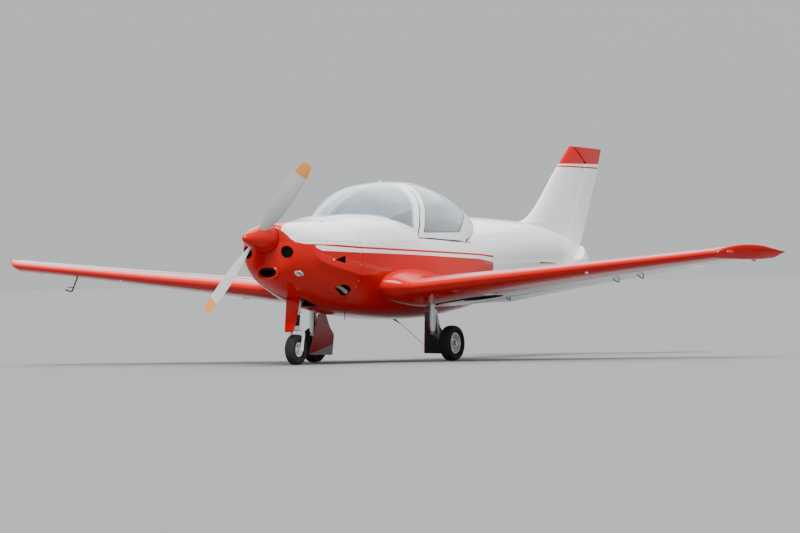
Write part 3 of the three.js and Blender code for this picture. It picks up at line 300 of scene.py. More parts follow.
def prism(name, outline, low, high, along="x", lean=None):
    """A flat outline pushed straight along an axis: given as (s, z) when the axis is x, as (x, s)
    when it is z and as (x, z) when it is s."""
    outline = np.asarray(outline, float)
    points = np.concatenate([np.insert(outline, "xsz".index(along), at, axis=1) for at in (low, high)])
    if lean is not None:
        points = lean(points)
    count = len(outline)
    faces = [[i, (i + 1) % count, count + (i + 1) % count, count + i] for i in range(count)]
    faces += [list(range(count))[::-1], list(range(count, 2 * count))]
    return new_object(name, points, facing_out(points, faces))


def block(name, low, high):
    """A straight-sided block between two corners, used to cut or to join."""
    (x0, s0, z0), (x1, s1, z1) = low, high
    return prism(name, [(s0, z0), (s1, z0), (s1, z1), (s0, z1)], x0, x1)


def rod(name, start, end, radius, end_radius=None, sides=24):
    """A round bar or cone between two points."""
    points = np.linspace(start, end, 2)
    return skin(name, swept(points, [radius, radius if end_radius is None else end_radius], sides))


def turned(name, profile, centre, axis, sides):
    """A closed profile turned round an axis."""
    return skin(name, lathe_rings(profile, centre, axis, sides), looped=True)


def settled(piece):
    """The piece with its modifiers taken into its mesh."""
    depsgraph = bpy.context.evaluated_depsgraph_get()
    mesh = bpy.data.meshes.new_from_object(piece.evaluated_get(depsgraph))
    old = piece.data
    piece.modifiers.clear()
    piece.data = mesh
    bpy.data.meshes.remove(old)
    return piece


def carve(piece, operation, *tools):
    """Joins, cuts or intersects a solid with other solids, which are then removed. Faces that come
    from a tool keep the tool's material, or take the piece's when it has none."""
    for tool in tools:
        if piece.data.materials and not tool.data.materials:
            tool.data.materials.append(piece.data.materials[0])
        modifier = piece.modifiers.new("carve", "BOOLEAN")
        modifier.operation = operation
        modifier.solver = "MANIFOLD"
        modifier.material_mode = "TRANSFER"
        modifier.object = tool
        settled(piece)
        mesh = tool.data
        bpy.data.objects.remove(tool)
        bpy.data.meshes.remove(mesh)
    return piece


def cut(piece, *tools):
    """The piece less the tools."""
    return carve(piece, "DIFFERENCE", *tools)


def join(piece, *tools):
    """The piece and the tools as one solid."""
    return carve(piece, "UNION", *tools)


def keep(piece, *tools):
    """What the piece and each tool share."""
    return carve(piece, "INTERSECT", *tools)


def merged(name, pieces):
    """Several meshes as the parts of one object."""
    points, faces, start = [], [], 0
    for piece in pieces:
        mesh = piece.data
        place = np.empty(len(mesh.vertices) * 3)
        mesh.vertices.foreach_get("co", place)
        points.append(place.reshape(-1, 3) * 1000 + [0, MIDDLE, 0])
        faces += [[start + i for i in polygon.vertices] for polygon in mesh.polygons]
        start += len(mesh.vertices)
        bpy.data.objects.remove(piece)
        bpy.data.meshes.remove(mesh)
    return new_object(name, np.concatenate(points), faces)


def copied(piece, name):
    """A second object with its own copy of the mesh."""
    other = bpy.data.objects.new(name, piece.data.copy())
    bpy.context.scene.collection.objects.link(other)
    return other


def mirrored(piece, name):
    """A copy of a piece across the aircraft's middle, with its faces turned back outwards."""
    other = copied(piece, name)
    other.data.transform(Matrix.Diagonal((-1, 1, 1, 1)))
    other.data.flip_normals()
    return other


def placed(piece, body, slot, material, *nodes, angle=32):
    """Shades a piece smooth up to an angle, gives it its material and body, and hides the frame's parts that
    it stands for. The slot is not used."""
    mesh = piece.data
    mesh.polygons.foreach_set("use_smooth", [True] * len(mesh.polygons))
    mesh.set_sharp_from_angle(angle=math.radians(angle))
    if material is not None:
        mesh.materials.clear()
        mesh.materials.append(material)
    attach(piece, body)
    if nodes:
        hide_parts(*nodes)
    return piece


# Shaders


class Wire:
    """A socket on which Python's operators add Math nodes."""

    def __init__(self, board, socket):
        self.board = board
        self.socket = socket

    def math(self, operation, *values):
        """A Math node of one operation on this socket and other sockets or numbers."""
        sockets = dict(enumerate(values))
        return self.board.add("ShaderNodeMath", {"operation": operation}, sockets)[0]

    def __add__(self, other):
        return self.math("ADD", self, other)

    def __radd__(self, other):
        return self.math("ADD", other, self)

    def __sub__(self, other):
        return self.math("SUBTRACT", self, other)

    def __rsub__(self, other):
        return self.math("SUBTRACT", other, self)

    def __mul__(self, other):
        return self.math("MULTIPLY", self, other)

    def __rmul__(self, other):
        return self.math("MULTIPLY", other, self)

    def __truediv__(self, other):
        return self.math("DIVIDE", self, other)

    def __rtruediv__(self, other):
        return self.math("DIVIDE", other, self)

    def __pow__(self, other):
        return self.math("POWER", self, other)

    def __abs__(self):
        return self.math("ABSOLUTE", self)

    def most(self, other):
        """The larger of two values."""
        return self.math("MAXIMUM", self, other)

    def least(self, other):
        """The smaller of two values."""
        return self.math("MINIMUM", self, other)

    def limited(self):
        """The value kept between 0 and 1."""
        return self.most(0.0).least(1.0)

    def edge(self, soft=0.0012):
        """A mask from a distance in metres: 1 where it is positive, with a soft edge."""
        return (self / soft + 0.5).limited()

    def sine(self):
        """The sine of the value."""
        return self.math("SINE", self)


class Added:
    """A new node, whose outputs come out as wires."""

    def __init__(self, board, node):
        self.board = board
        self.node = node

    def __getitem__(self, key):
        return Wire(self.board, self.node.outputs[key])


class Board:
    """One material's nodes, with the place on the object ready as x, s and z in metres."""

    def __init__(self, tree):
        self.tree = tree
        tree.nodes.clear()
        self.place = self.add("ShaderNodeTexCoord")["Object"]
        parts = self.add("ShaderNodeSeparateXYZ", {}, {0: self.place})
        self.x, self.y, self.z = parts["X"], parts["Y"], parts["Z"]
        self.s = self.y + MIDDLE / 1000

    def add(self, kind, settings=None, sockets=None):
        """A node of a type, with its settings and then its sockets' values or links."""
        node = self.tree.nodes.new(kind)
        for key, value in (settings or {}).items():
            setattr(node, key, value)
        for key, value in (sockets or {}).items():
            if isinstance(value, Wire):
                self.tree.links.new(value.socket, node.inputs[key])
            else:
                node.inputs[key].default_value = value
        return Added(self, node)

    def noise(self, scale, detail, place=None):
        """Soft noise, about 0.5, at a scale in waves to the metre."""
        sockets = {"Vector": place or self.place, "Scale": scale, "Detail": detail, "Roughness": 0.5}
        return self.add("ShaderNodeTexNoise", {}, sockets)["Fac"]

    def blend(self, share, first, second):
        """A mix of two colours."""
        sockets = {0: share, 6: first, 7: second}
        return self.add("ShaderNodeMix", {"data_type": "RGBA"}, sockets)[2]

    def stretched(self, x, y, z):
        """The place on the object, scaled along each axis."""
        return self.add("ShaderNodeMapping", {}, {"Vector": self.place, "Scale": (x, y, z)})["Vector"]

    def line(self, along, points):
        """A broken line: the first height, and after each point the change of slope times how far
        the place is past it."""
        slopes = [(b[1] - a[1]) / (b[0] - a[0]) for a, b in zip(points, points[1:])]
        height = (along - points[0][0]) * slopes[0] + points[0][1]
        for point, before, after in zip(points[1:], slopes, slopes[1:]):
            height = height + (along - point[0]).most(0.0) * (after - before)
        return height

    def surface(self, colour, roughness, bump, strength=0.3, distance=0.001, relief=None, **extra):
        """Ends the material in a Principled shader, with a fine bump from a height in metres on top
        of a coarser relief. The extra values are metallic, coat, specular and sheen."""
        names = {
            "metallic": "Metallic",
            "coat": "Coat Weight",
            "specular": "Specular IOR Level",
            "sheen": "Sheen Weight",
        }
        sockets = {"Base Color": colour, "Roughness": roughness, "Coat Roughness": 0.03}
        sockets.update({names[key]: value for key, value in extra.items()})
        heights = {"Height": bump, "Strength": strength, "Distance": distance}
        if relief is not None:
            heights["Normal"] = relief
        sockets["Normal"] = self.add("ShaderNodeBump", {}, heights)["Normal"]
        self.end(self.add("ShaderNodeBsdfPrincipled", {}, sockets)["BSDF"])

    def grained(self, dark, pale, roughness, scale, detail=2.0, **finish):
        """Ends the material in a finish whose colour, between a dark and a pale tone, and whose
        bump both follow one noise."""
        grain = self.noise(scale, detail)
        self.surface(self.blend(grain, (*dark, 1), (*pale, 1)), roughness, grain, **finish)

    def end(self, shader):
        """Leads a shader to the material's output."""
        self.add("ShaderNodeOutputMaterial", {}, {"Surface": shader})


MATERIALS = {}


def once(maker):
    """Makes a material the first time it is asked for, and hands the same one out after that."""

    def made():
        if maker.__name__ not in MATERIALS:
            material = bpy.data.materials.new(maker.__name__)
            material.use_nodes = True
            maker(Board(material.node_tree))
            MATERIALS[maker.__name__] = material
        return MATERIALS[maker.__name__]

    return made


def colours():
    """The paint settings of the scene."""
    return bpy.context.scene.aircraft_paint


def red():
    """The red paint as a colour with alpha."""
    return (*colours().red, 1)


def white():
    """The white paint as a colour with alpha."""
    return (*colours().white, 1)


def painted(board, mask, relief=None, grooves=None):
    """Gloss paint, red where the mask is 1 and white where it is 0: faint waves in the skin, thin dust that
    settles in streaks along the air's way, and near-black lines from the grooves mask: dark panel joints and
    seams, and on the body also painted shade and a painted shadow."""
    streaks = board.noise(3.0, 4.0, board.stretched(9.0, 0.7, 9.0))
    dust = ((streaks - 0.52) * 2.2).limited()
    mottle = board.noise(1.7, 2.0)
    reds = board.blend((mottle * 0.5).limited(), red(), (*[c * 0.82 for c in colours().red], 1))
    whites = board.blend(dust * 0.25, white(), (*colours().dust, 1))
    colour = board.blend(mask, whites, reds)
    # Near-black lines: real joints and seams, and on the body the painted shade behind the spinner and the
    # painted shadow under the canopy.
    if grooves is not None:
        colour = board.blend(grooves, colour, (0.02, 0.02, 0.02, 1))
    rough = 0.13 + dust * 0.12 + board.noise(26.0, 2.0) * 0.03
    height = board.noise(5.0, 1.0) * 0.6 + board.noise(160.0, 1.0) * 0.03
    raised = None
    if relief is not None:
        sockets = {"Height": relief, "Strength": 1.0, "Distance": 1.0}
        raised = board.add("ShaderNodeBump", {}, sockets)["Normal"]
    board.surface(colour, rough, height, 0.12, 0.002, raised, coat=0.2, specular=0.22)


# Paint lines, in metres: station and height
HOOD_LINE = [
    (0.357, 1.16), (0.377, 1.105), (0.395, 1.052), (0.418, 1.028), (0.492, 1.010), (0.605, 1.006),
    (0.883, 0.997), (1.136, 0.980), (1.690, 0.957), (2.359, 0.933), (3.142, 0.908), (3.43, 0.890),
]
TRIM_LINE = [
    (0.605, 0.997), (0.883, 0.979), (1.136, 0.963), (1.690, 0.940),
    (2.359, 0.916), (3.142, 0.892), (3.43, 0.872),
]
STRIPE_FOOT = [(0.605, 0.978), (0.671, 0.950), (1.151, 0.930), (1.890, 0.906), (3.136, 0.862), (3.43, 0.833)]
STRIPE_FRONT = 0.606
FIELD_END = 3.432
LOBE_FRONT, LOBE_BACK, LOBE_HALF = 0.377, 0.93, 0.14
THIN_FRONT, THIN_BACK = 4.53, 4.99
CHEEK = [
    (0.50, 1.010), (0.576, 0.935), (0.657, 0.869), (0.759, 0.832),
    (0.967, 0.783), (1.143, 0.744), (1.476, 0.728),
]
LIP_LINE = [(0.500, 0.740), (0.564, 0.719), (1.105, 0.555)]
SPINNER_RIM = 0.1285


def body_mask(board):
    """1 where the body is red: below the hood, but for the white stripe along the side, and on the
    nose between the hood's two lobes, as far back as the red field's upright end. Behind it a thin
    line narrows as it runs aft."""
    z, s = board.z, board.s
    below_hood = (board.line(s, HOOD_LINE) - z).edge()
    above_foot = (z - board.line(s, STRIPE_FOOT)).edge()
    below_trim = (board.line(s, TRIM_LINE) - z).edge()
    stripe = above_foot * below_trim * (s - STRIPE_FRONT).edge(0.004)
    reach = (LOBE_BACK - s) * (LOBE_HALF / (LOBE_BACK - LOBE_FRONT))
    wedge = (reach - abs(board.x)).edge() * (z - 1.1).edge()
    field = (below_hood * (1 - stripe)).most(wedge) * (FIELD_END - s).edge()
    aft = s - THIN_FRONT
    thin = (0.0085 - aft * 0.010 - abs(z - (0.822 - aft * 0.015))).edge()
    return field.most(thin * aft.edge() * (THIN_BACK - s).edge())


def crease(board, line, half, start, fade):
    """A ridge along a broken line whose sides fall evenly to nothing at a half width. It rises over
    about 0.1 m at its start and fades out at its end, both given as the station and the slope."""
    ridge = (1 - abs(board.z - board.line(board.s, line)) / half).limited()
    return ridge * ((fade[0] - board.s) * fade[1]).limited() * ((board.s - start) * 9.0).limited()


def body_relief(board):
    """Height of two soft creases on the cowling, in metres."""
    cheek = crease(board, CHEEK, 0.07, 0.56, (1.45, 2.2))
    lip = crease(board, LIP_LINE, 0.03, 0.5, (1.12, 30.0))
    return cheek * 0.022 + lip * 0.010


def body_joints_and_shade(board):
    """Mask of the panel joints on the body's sides, of the painted shadow line under the canopy and of the
    painted shade on the cowling's front face behind the spinner: a band where the distance to each line is
    under half its width."""
    s, z = board.s, board.z
    slope = (0.0022 - abs(z - (1.099 - (s - 1.641) * 1.234))).edge() * (s - 1.641).edge() * (1.705 - s).edge()
    level = (0.0014 - abs(z - 1.0195)).edge() * (s - 1.705).edge() * (1.987 - s).edge()
    firewall = (0.0016 - abs(s - FIREWALL / 1000)).edge()
    # Painted shade: the cowling's front face inside the spinner's radius goes near-black, in the gap behind
    # the spinner.
    rim = (0.3588 - s).edge(0.0008) * (SPINNER_RIM - from_axis(board)).edge()
    # Painted shadow: a dark band along the sill, under the canopy's edge.
    sill = (0.0036 - abs(z - (1.0465 - (s - 2.03) * 0.0454))).edge() * (s - 2.03).edge() * (3.02 - s).edge()
    return slope.most(level).most(firewall).most(rim).most(sill)


def from_axis(board):
    """Distance from the propeller's axis: the root of x squared plus the height above it squared."""
    return (board.x**2.0 + (board.z - AXIS_Z / 1000) ** 2.0) ** 0.5


@once
def body_paint(board):
    """The body's red and white paint with its creases and joints, and painted shade lines."""
    painted(board, body_mask(board), body_relief(board), body_joints_and_shade(board))


@once
def white_paint(board):
    """White all over."""
    painted(board, 0.0)


@once
def red_paint(board):
    """Red all over."""
    painted(board, 1.0)


@once
def wing_paint(board):
    """White, with a red band along the leading edge that ends at a share of the chord, further
    back on the lower face."""
    x = abs(board.x)
    lower = (0.6614 + (x - 1.02) * 0.08754 - board.z).edge(0.008)
    reach = 0.135 + lower * 0.235
    share = (board.s - 1.385 - x * 0.1225) / (1.90 - x * 0.352)
    root = (0.82 - x).edge(0.002) * (2.32 - board.s).edge(0.002)
    outer = (x - 3.47).edge(0.002)
    painted(board, (reach - share).edge(0.002).most(root).most(outer))


@once
def fin_paint(board):
    """White, with a level red cap and a thin red line below it that falls aft."""
    cap = (board.z - 1.7025).edge()
    line = (0.0068 - abs(board.z - 1.683 + (board.s - 5.408) * 0.0226)).edge()
    painted(board, cap.most(line))


@once
def bow_paint(board):
    """White with a dark line along the seam between the windscreen's bow and the canopy."""
    seam = board.line(board.z, [(row[0] / 1000, row[BOW_SEAM] / 1000) for row in BOWS.tolist()])
    painted(board, 0.0, None, (0.0085 - abs(board.s - seam)).edge(0.002) * (board.z - 1.04).edge())


@once
def cabin_lining(board):
    """Pale grey lining cloth with a fine nap."""
    board.grained((0.33, 0.34, 0.36), (0.42, 0.43, 0.45), 0.9, 900.0, strength=0.4)


@once
def carpet(board):
    """Dark carpet with rough tufts."""
    board.grained((0.05, 0.05, 0.06), (0.12, 0.12, 0.13), 0.95, 1200.0, strength=0.7)


@once
def glazing(board):
    """Blown acrylic: clear with a blue-grey tint, and mixed towards its edges with an opaque pale gloss: real
    gloss together with a painted reflection of the bright sky.
    """
    facing = board.add("ShaderNodeLayerWeight", {}, {"Blend": 0.5})["Facing"]
    wear = board.noise(14.0, 3.0, board.stretched(1.0, 5.0, 5.0))
    clear = board.add("ShaderNodeBsdfTransparent", {}, {"Color": (0.84, 0.90, 0.93, 1)})["BSDF"]
    sockets = {"Base Color": (0.84, 0.88, 0.91, 1), "Roughness": 0.02 + wear * 0.05, "IOR": 1.49}
    gloss_and_painted_sky = board.add("ShaderNodeBsdfPrincipled", {}, sockets)["BSDF"]
    # Painted reflection: the opaque pale surface's share, 0.12 face-on, grows towards grazing angles so that
    # the edges look white.
    share = 0.12 + facing**3.2 * 0.85
    board.end(board.add("ShaderNodeMixShader", {}, {0: share, 1: clear, 2: gloss_and_painted_sky})["Shader"])


@once
def silver(board):
    """Satin silver with fine scratches along the part."""
    scratch = board.noise(70.0, 4.0, board.stretched(9.0, 9.0, 0.8))
    colour = board.blend(scratch, (0.56, 0.57, 0.58, 1), (0.72, 0.73, 0.74, 1))
    board.surface(colour, 0.28 + scratch * 0.14, scratch, 0.1, metallic=0.85)


@once
def bright_alloy(board):
    """Bright cast alloy of the wheels."""
    grain = board.noise(90.0, 3.0)
    colour = board.blend(grain, (0.74, 0.75, 0.76, 1), (0.86, 0.87, 0.88, 1))
    board.surface(colour, 0.3 + grain * 0.1, grain, 0.08, metallic=0.45)


@once
def steel(board):
    """Heat-dulled steel, browner in patches."""
    heat = board.noise(18.0, 4.0)
    colour = board.blend(heat, (0.24, 0.22, 0.20, 1), (0.42, 0.36, 0.30, 1))
    board.surface(colour, 0.42 + heat * 0.2, heat, 0.2, metallic=0.9)


@once
def casting(board):
    """Dark rough casting."""
    board.grained((0.10, 0.10, 0.105), (0.2, 0.2, 0.2), 0.6, 240.0, 3.0, metallic=0.5)


@once
def black_plastic(board):
    """Black moulded plastic or rubber with a fine grain."""
    board.grained((0.012, 0.012, 0.013), (0.03, 0.03, 0.032), 0.5, 500.0)


@once
def tyre_rubber(board):
    """Dark rubber with patches of dust."""
    dust = board.noise(30.0, 5.0)
    colour = board.blend((dust * 1.2 - 0.3).limited(), (0.009, 0.009, 0.011, 1), (0.035, 0.034, 0.034, 1))
    board.surface(colour, 0.78 + dust * 0.12, board.noise(300.0, 2.0), 0.25)


@once
def blade_paint(board):
    """Pale grey blades whose ends are orange beyond a distance from the propeller's axis."""
    tip = (from_axis(board) - 0.667).edge(0.003)
    wear = board.noise(40.0, 3.0, board.stretched(1.0, 6.0, 1.0))
    grey = board.blend(wear, (0.50, 0.51, 0.52, 1), (0.62, 0.63, 0.63, 1))
    colour = board.blend(tip, grey, (0.80, 0.30, 0.05, 1))
    board.surface(colour, 0.3 + wear * 0.1, wear, 0.06, coat=0.3)


@once
def lamp_glass(board):
    """Ribbed lamp glass; the lens on the cowling is pale round its rim and dark in the middle."""
    ribs = (board.x * 900.0).sine() * 0.5 + 0.5
    pale = board.blend(ribs, (0.80, 0.78, 0.66, 1), (0.95, 0.94, 0.88, 1))
    away = ((board.x - 0.233) ** 2.0 + (board.z - 0.762) ** 2.0) ** 0.5
    middle = (0.0135 - away).edge(0.004)
    colour = board.blend(middle, pale, (0.16, 0.16, 0.11, 1))
    board.surface(colour, 0.08, ribs, metallic=0.3, coat=1.0)


@once
def port_lens(board):
    """Red lamp glass."""
    board.grained((0.5, 0.01, 0.01), (0.8, 0.03, 0.02), 0.08, 60.0, strength=0.05, coat=1.0)


@once
def starboard_lens(board):
    """Green lamp glass."""
    board.grained((0.0, 0.3, 0.06), (0.01, 0.5, 0.12), 0.08, 60.0, strength=0.05, coat=1.0)


@once
def recess_shade(board):
    """Near-black painted shade inside the ducts and the wheel wells."""
    # Painted shade: a near-black colour with faint noise stands for the dark in recesses and gaps.
    board.grained((0.006, 0.006, 0.006), (0.03, 0.027, 0.025), 0.85, 45.0, 4.0, strength=0.2)


@once
def seat_cloth(board):
    """Dark woven cloth: two sets of threads that cross, with a few paler ones."""
    warp = (board.x * 2600.0).sine() * 0.5 + 0.5
    weft = ((board.s + board.z * 0.7) * 2600.0).sine() * 0.5 + 0.5
    weave = warp * weft
    threads = (weave * 0.5 + board.noise(420.0, 2.0) * 0.4).limited()
    colour = board.blend(threads, (0.018, 0.022, 0.03, 1), (0.10, 0.11, 0.13, 1))
    board.surface(colour, 0.92, weave, 0.5, sheen=0.3)


@once
def webbing(board):
    """Grey belt webbing with ribs across it."""
    ribs = ((board.x + board.z) * 1800.0).sine() * 0.5 + 0.5
    board.surface(board.blend(ribs, (0.16, 0.17, 0.19, 1), (0.26, 0.27, 0.29, 1)), 0.7, ribs, 0.5)


@once
def dial_face(board):
    """Near-black dial with pale marks."""
    marks = board.noise(260.0, 1.0)
    colour = board.blend((marks * 9.0 - 5.4).limited(), (0.01, 0.01, 0.012, 1), (0.75, 0.75, 0.72, 1))
    board.surface(colour, 0.25, marks, 0.05, coat=0.8)


@once
def stage_floor(board):
    """Pale, even floor with the faintest grain."""
    low, high = [(*[c * k for c in bpy.context.scene.aircraft_stage.floor], 1) for k in (0.985, 1.0)]
    colour = board.blend(board.noise(6.0, 3.0), low, high)
    board.surface(colour, 0.85, board.noise(120.0, 2.0), 0.02)


@once
def door_paint(board):
    """Black on the face turned outboard; red with a pale lower corner on the other."""
    pale = ((0.072 + (board.s - 1.984) * 0.21) - board.z).edge()
    face = board.add("ShaderNodeNewGeometry")["True Normal"]
    aside = board.add("ShaderNodeSeparateXYZ", {}, {0: face})["X"]
    outer = (aside * board.x * 40.0).limited()
    soot = board.noise(60.0, 3.0)
    colour = board.blend(pale, red(), (0.55, 0.55, 0.54, 1))
    colour = board.blend(outer, colour, (0.02, 0.02, 0.02, 1))
    board.surface(colour, 0.18 + soot * 0.12 + outer * 0.4, soot, 0.06, coat=0.3)


# Solids that several pieces share

NOSE_STATIONS = [357, 358, 360, 363, 367, 372, 378, 385, 393, 402, 412, 424, 438, 455, 475, 500, 530]
BODY_STEP = 26.0
# Side view of the opening in the cabin's top
OPEN_TOP = [
    (1800, 1095), (1800, 1700), (3250, 1700), (3250, 1104), (3190, 1083),
    (3100, 1062), (3000, 1022), (2960, float(sill_z(2960))), (2030, 1050), (2030, 1095),
]
BODY_SKIN = 22.0
COWL_SKIN = 9.0
# Side view of the triangular vent, its apex first
VENT = np.array([[819, 873], [945, 907], [945, 843]], float)
LAMP_X, LAMP_Z = 233, 764
FLOOR_Z = 500.0


def side_prism(name, outline, low=-FAR, high=FAR, lean=None):
    """A block whose outline is given in the side view as (s, z)."""
    return prism(name, outline, low, high, "x", lean)


def plan_prism(name, outline, low, high, lean=None):
    """A block whose outline is given in plan as (x, s)."""
    return prism(name, outline, low, high, "z", lean)


def rounded(outline, radius):
    """An outline whose corners are turned into curves that leave each side a radius before the
    corner: points of the quadratic curve pulled towards it."""
    outline = np.asarray(outline, float)
    t = np.linspace(0, 1, 7)[None, :, None]

    def towards(ends):
        """Points a radius along each side, but no further than 0.45 of it."""
        way = ends - outline
        reach = np.linalg.norm(way, axis=1, keepdims=True)
        return (outline + way * np.minimum(radius / reach, 0.45))[:, None]

    start, end = towards(np.roll(outline, 1, axis=0)), towards(np.roll(outline, -1, axis=0))
    return ((1 - t) ** 2 * start + 2 * t * (1 - t) * outline[:, None] + t**2 * end).reshape(-1, 2)


def dressed(piece, material):
    """Gives a solid its material before it cuts or joins another."""
    piece.data.materials.clear()
    piece.data.materials.append(material)
    return piece


def body_solid(grow, front=357.0, back=5940.0):
    """The body between two stations, on rings close enough together to look smooth."""
    fine = np.concatenate([NOSE_STATIONS, np.arange(550, 5840, BODY_STEP), np.linspace(5845, 5940, 14)])
    inner = fine[(fine > front) & (fine < back)]
    return skin("body", body_rings(np.concatenate([[front], inner, [back]]), grow))


def on_body(station, height):
    """Points of the body's port side at stations and heights, and the ways they face: x follows
    from the squared oval, and the facing from how x changes along s and z."""
    station, height = np.broadcast_arrays(np.asarray(station, float), np.asarray(height, float))
    station, height = station.ravel(), height.ravel()

    def side(s, z):
        """Half width of the body at stations and heights."""
        _, half, middle, top, bottom, above, below = rows_at(BODY, s).T
        power = np.where(z >= middle, above, below)
        reach = np.where(z >= middle, top - middle, middle - bottom)
        return half * np.maximum(1 - np.abs((z - middle) / reach) ** power, 0) ** (1 / power)

    along = (side(station + 1, height) - side(station - 1, height)) / 2
    up = (side(station, height + 1) - side(station, height - 1)) / 2
    facing = np.stack([np.ones_like(along), -along, -up], -1)
    facing /= np.linalg.norm(facing, axis=1, keepdims=True)
    return np.stack([side(station, height), station, height], -1), facing


def studs(name, points, facing, radius, height, sides=10):
    """Low round heads on a surface: a ring just under it, a ring above it and a smaller one on top."""
    points, facing = np.asarray(points, float), np.asarray(facing, float)
    first = np.cross(facing, np.where(np.abs(facing[:, 2:]) > 0.8, [[1.0, 0, 0]], [[0, 0, 1.0]]))
    first /= np.linalg.norm(first, axis=1, keepdims=True)
    second = np.cross(facing, first)
    angle = 2 * np.pi * np.arange(sides) / sides
    rounds = first[:, None] * np.cos(angle)[:, None] + second[:, None] * np.sin(angle)[:, None]
    levels = [(-1.5, 1.0), (height * 0.5, 1.0), (height, 0.72)]
    layers = [points[:, None] + facing[:, None] * rise + rounds * radius * share for rise, share in levels]
    index = np.arange(len(points) * len(levels) * sides).reshape(len(points), len(levels), sides)
    beside = np.roll(index, -1, axis=2)
    quads = np.stack([index[:, :-1], beside[:, :-1], beside[:, 1:], index[:, 1:]], -1).reshape(-1, 4)
    faces = quads.tolist() + index[:, 0, ::-1].tolist() + index[:, -1].tolist()
    return new_object(name, np.stack(layers, 1).reshape(-1, 3), faces)


def out_of(axes, origin):
    """The rule that takes points out of a frame, given its three axes and its origin."""
    turn = np.column_stack(axes)
    return lambda points: np.asarray(points, float) @ turn.T + np.asarray(origin, float)


def basis(along, origin):
    """A frame whose x runs along a line, z leans as far up as it can and y points aft. Returns the
    rule that takes points out of it."""
    along = np.asarray(along, float) / np.linalg.norm(along)
    up = np.cross(along, [0, 1, 0])
    up /= np.linalg.norm(up)
    return out_of([along, np.cross(up, along), up], origin)


# Body


def rudder_outline(ahead, gap):
    """Side view of the rudder's half of the tail, grown by a gap and moved ahead of the hinge."""
    foot = 858 - gap * 3
    _, aft, up = RUDDER_HIGH - RUDDER_LOW
    return [
        (5652 - gap * 1.2, 1885 + gap),
        (RUDDER_HIGH[1] - ahead - gap * 0.5, RUDDER_HIGH[2] - gap),
        (RUDDER_LOW[1] + aft * (foot - RUDDER_LOW[2]) / up - ahead, foot),
        (5690, 862 - gap),
        (5835 + gap, 985 - gap),
        (6600, 985 - gap),
        (6600, 1885 + gap),
    ]


RUDDER_NOTCH = 51
RUNNING_GAP = 7


def cabin_space(inset=0.0):
    """The space inside the body's skin, lined, over a flat carpeted floor."""
    stations = np.concatenate([np.arange(1190, 5150, 60), [5150]])
    space = dressed(skin("space", body_rings(stations, -BODY_SKIN - inset, 64)), cabin_lining())
    return cut(space, dressed(block("floor", (-FAR, 0, 0), (FAR, 3310, FLOOR_Z + inset)), carpet()))


def build_fuselage():
    """The body's skin aft of the firewall, opened for the cabin, the rudder and the elevator's tube."""
    shell = dressed(body_solid(0, FIREWALL + 0.6, 5940), body_paint())
    tube = rod("bore", (-400, ELEVATOR_S, TAIL_Z), (400, ELEVATOR_S, TAIL_Z), 17)
    notch = side_prism("notch", rudder_outline(RUDDER_NOTCH, RUNNING_GAP))
    cut(shell, cabin_space(), side_prism("opening", OPEN_TOP), dressed(notch, body_paint()), tube)
    shell.name = "fuselage_skin"
    placed(shell, "root", "white_paint", None, "fuselage")


def split_z(station):
    """Height of the seam between the cowling's halves."""
    return 1042 - (station - 357) * 0.036


def chin_rings(rows):
    """Ovals on the chin inlet's axis: each row is a margin round the inlet and a station."""
    margin, station = np.asarray(rows, float).T
    return oval_rings(station, 82 + margin, 776, 817 + margin, 735 - margin, 2.2, 2.2, 72)


def inlet_rim(side):
    """A raised rim round one of the two round inlets: a short tube trimmed by the body grown a
    little, so that its face follows the cowling."""
    tube = inlet_tube(side, 57, 340, 520)
    return keep(cut(tube, inlet_tube(side, 50, 300, 560)), body_solid(4, 357, 560))


def inlet_tube(side, radius, front, back):
    """A round bar on the axis of one of the round inlets."""
    x, z = side * 190, 945
    return rod("inlet", (x, front, z), (x, back, z), radius, sides=48)


def vent_wedge(side):
    """A wedge that sinks from its apex to the rear, to cut the triangular vent in the cowling."""
    places, facing = on_body(VENT[:, 0], VENT[:, 1])
    depth = np.array([[-2.0], [34.0], [34.0]])
    points = np.concatenate([places + facing * 30, places - facing * depth]) * [side, 1, 1]
    faces = [[2, 1, 0], [3, 4, 5], [0, 1, 4, 3], [1, 2, 5, 4], [2, 0, 3, 5]]
    return new_object("vent", points, facing_out(points, faces))


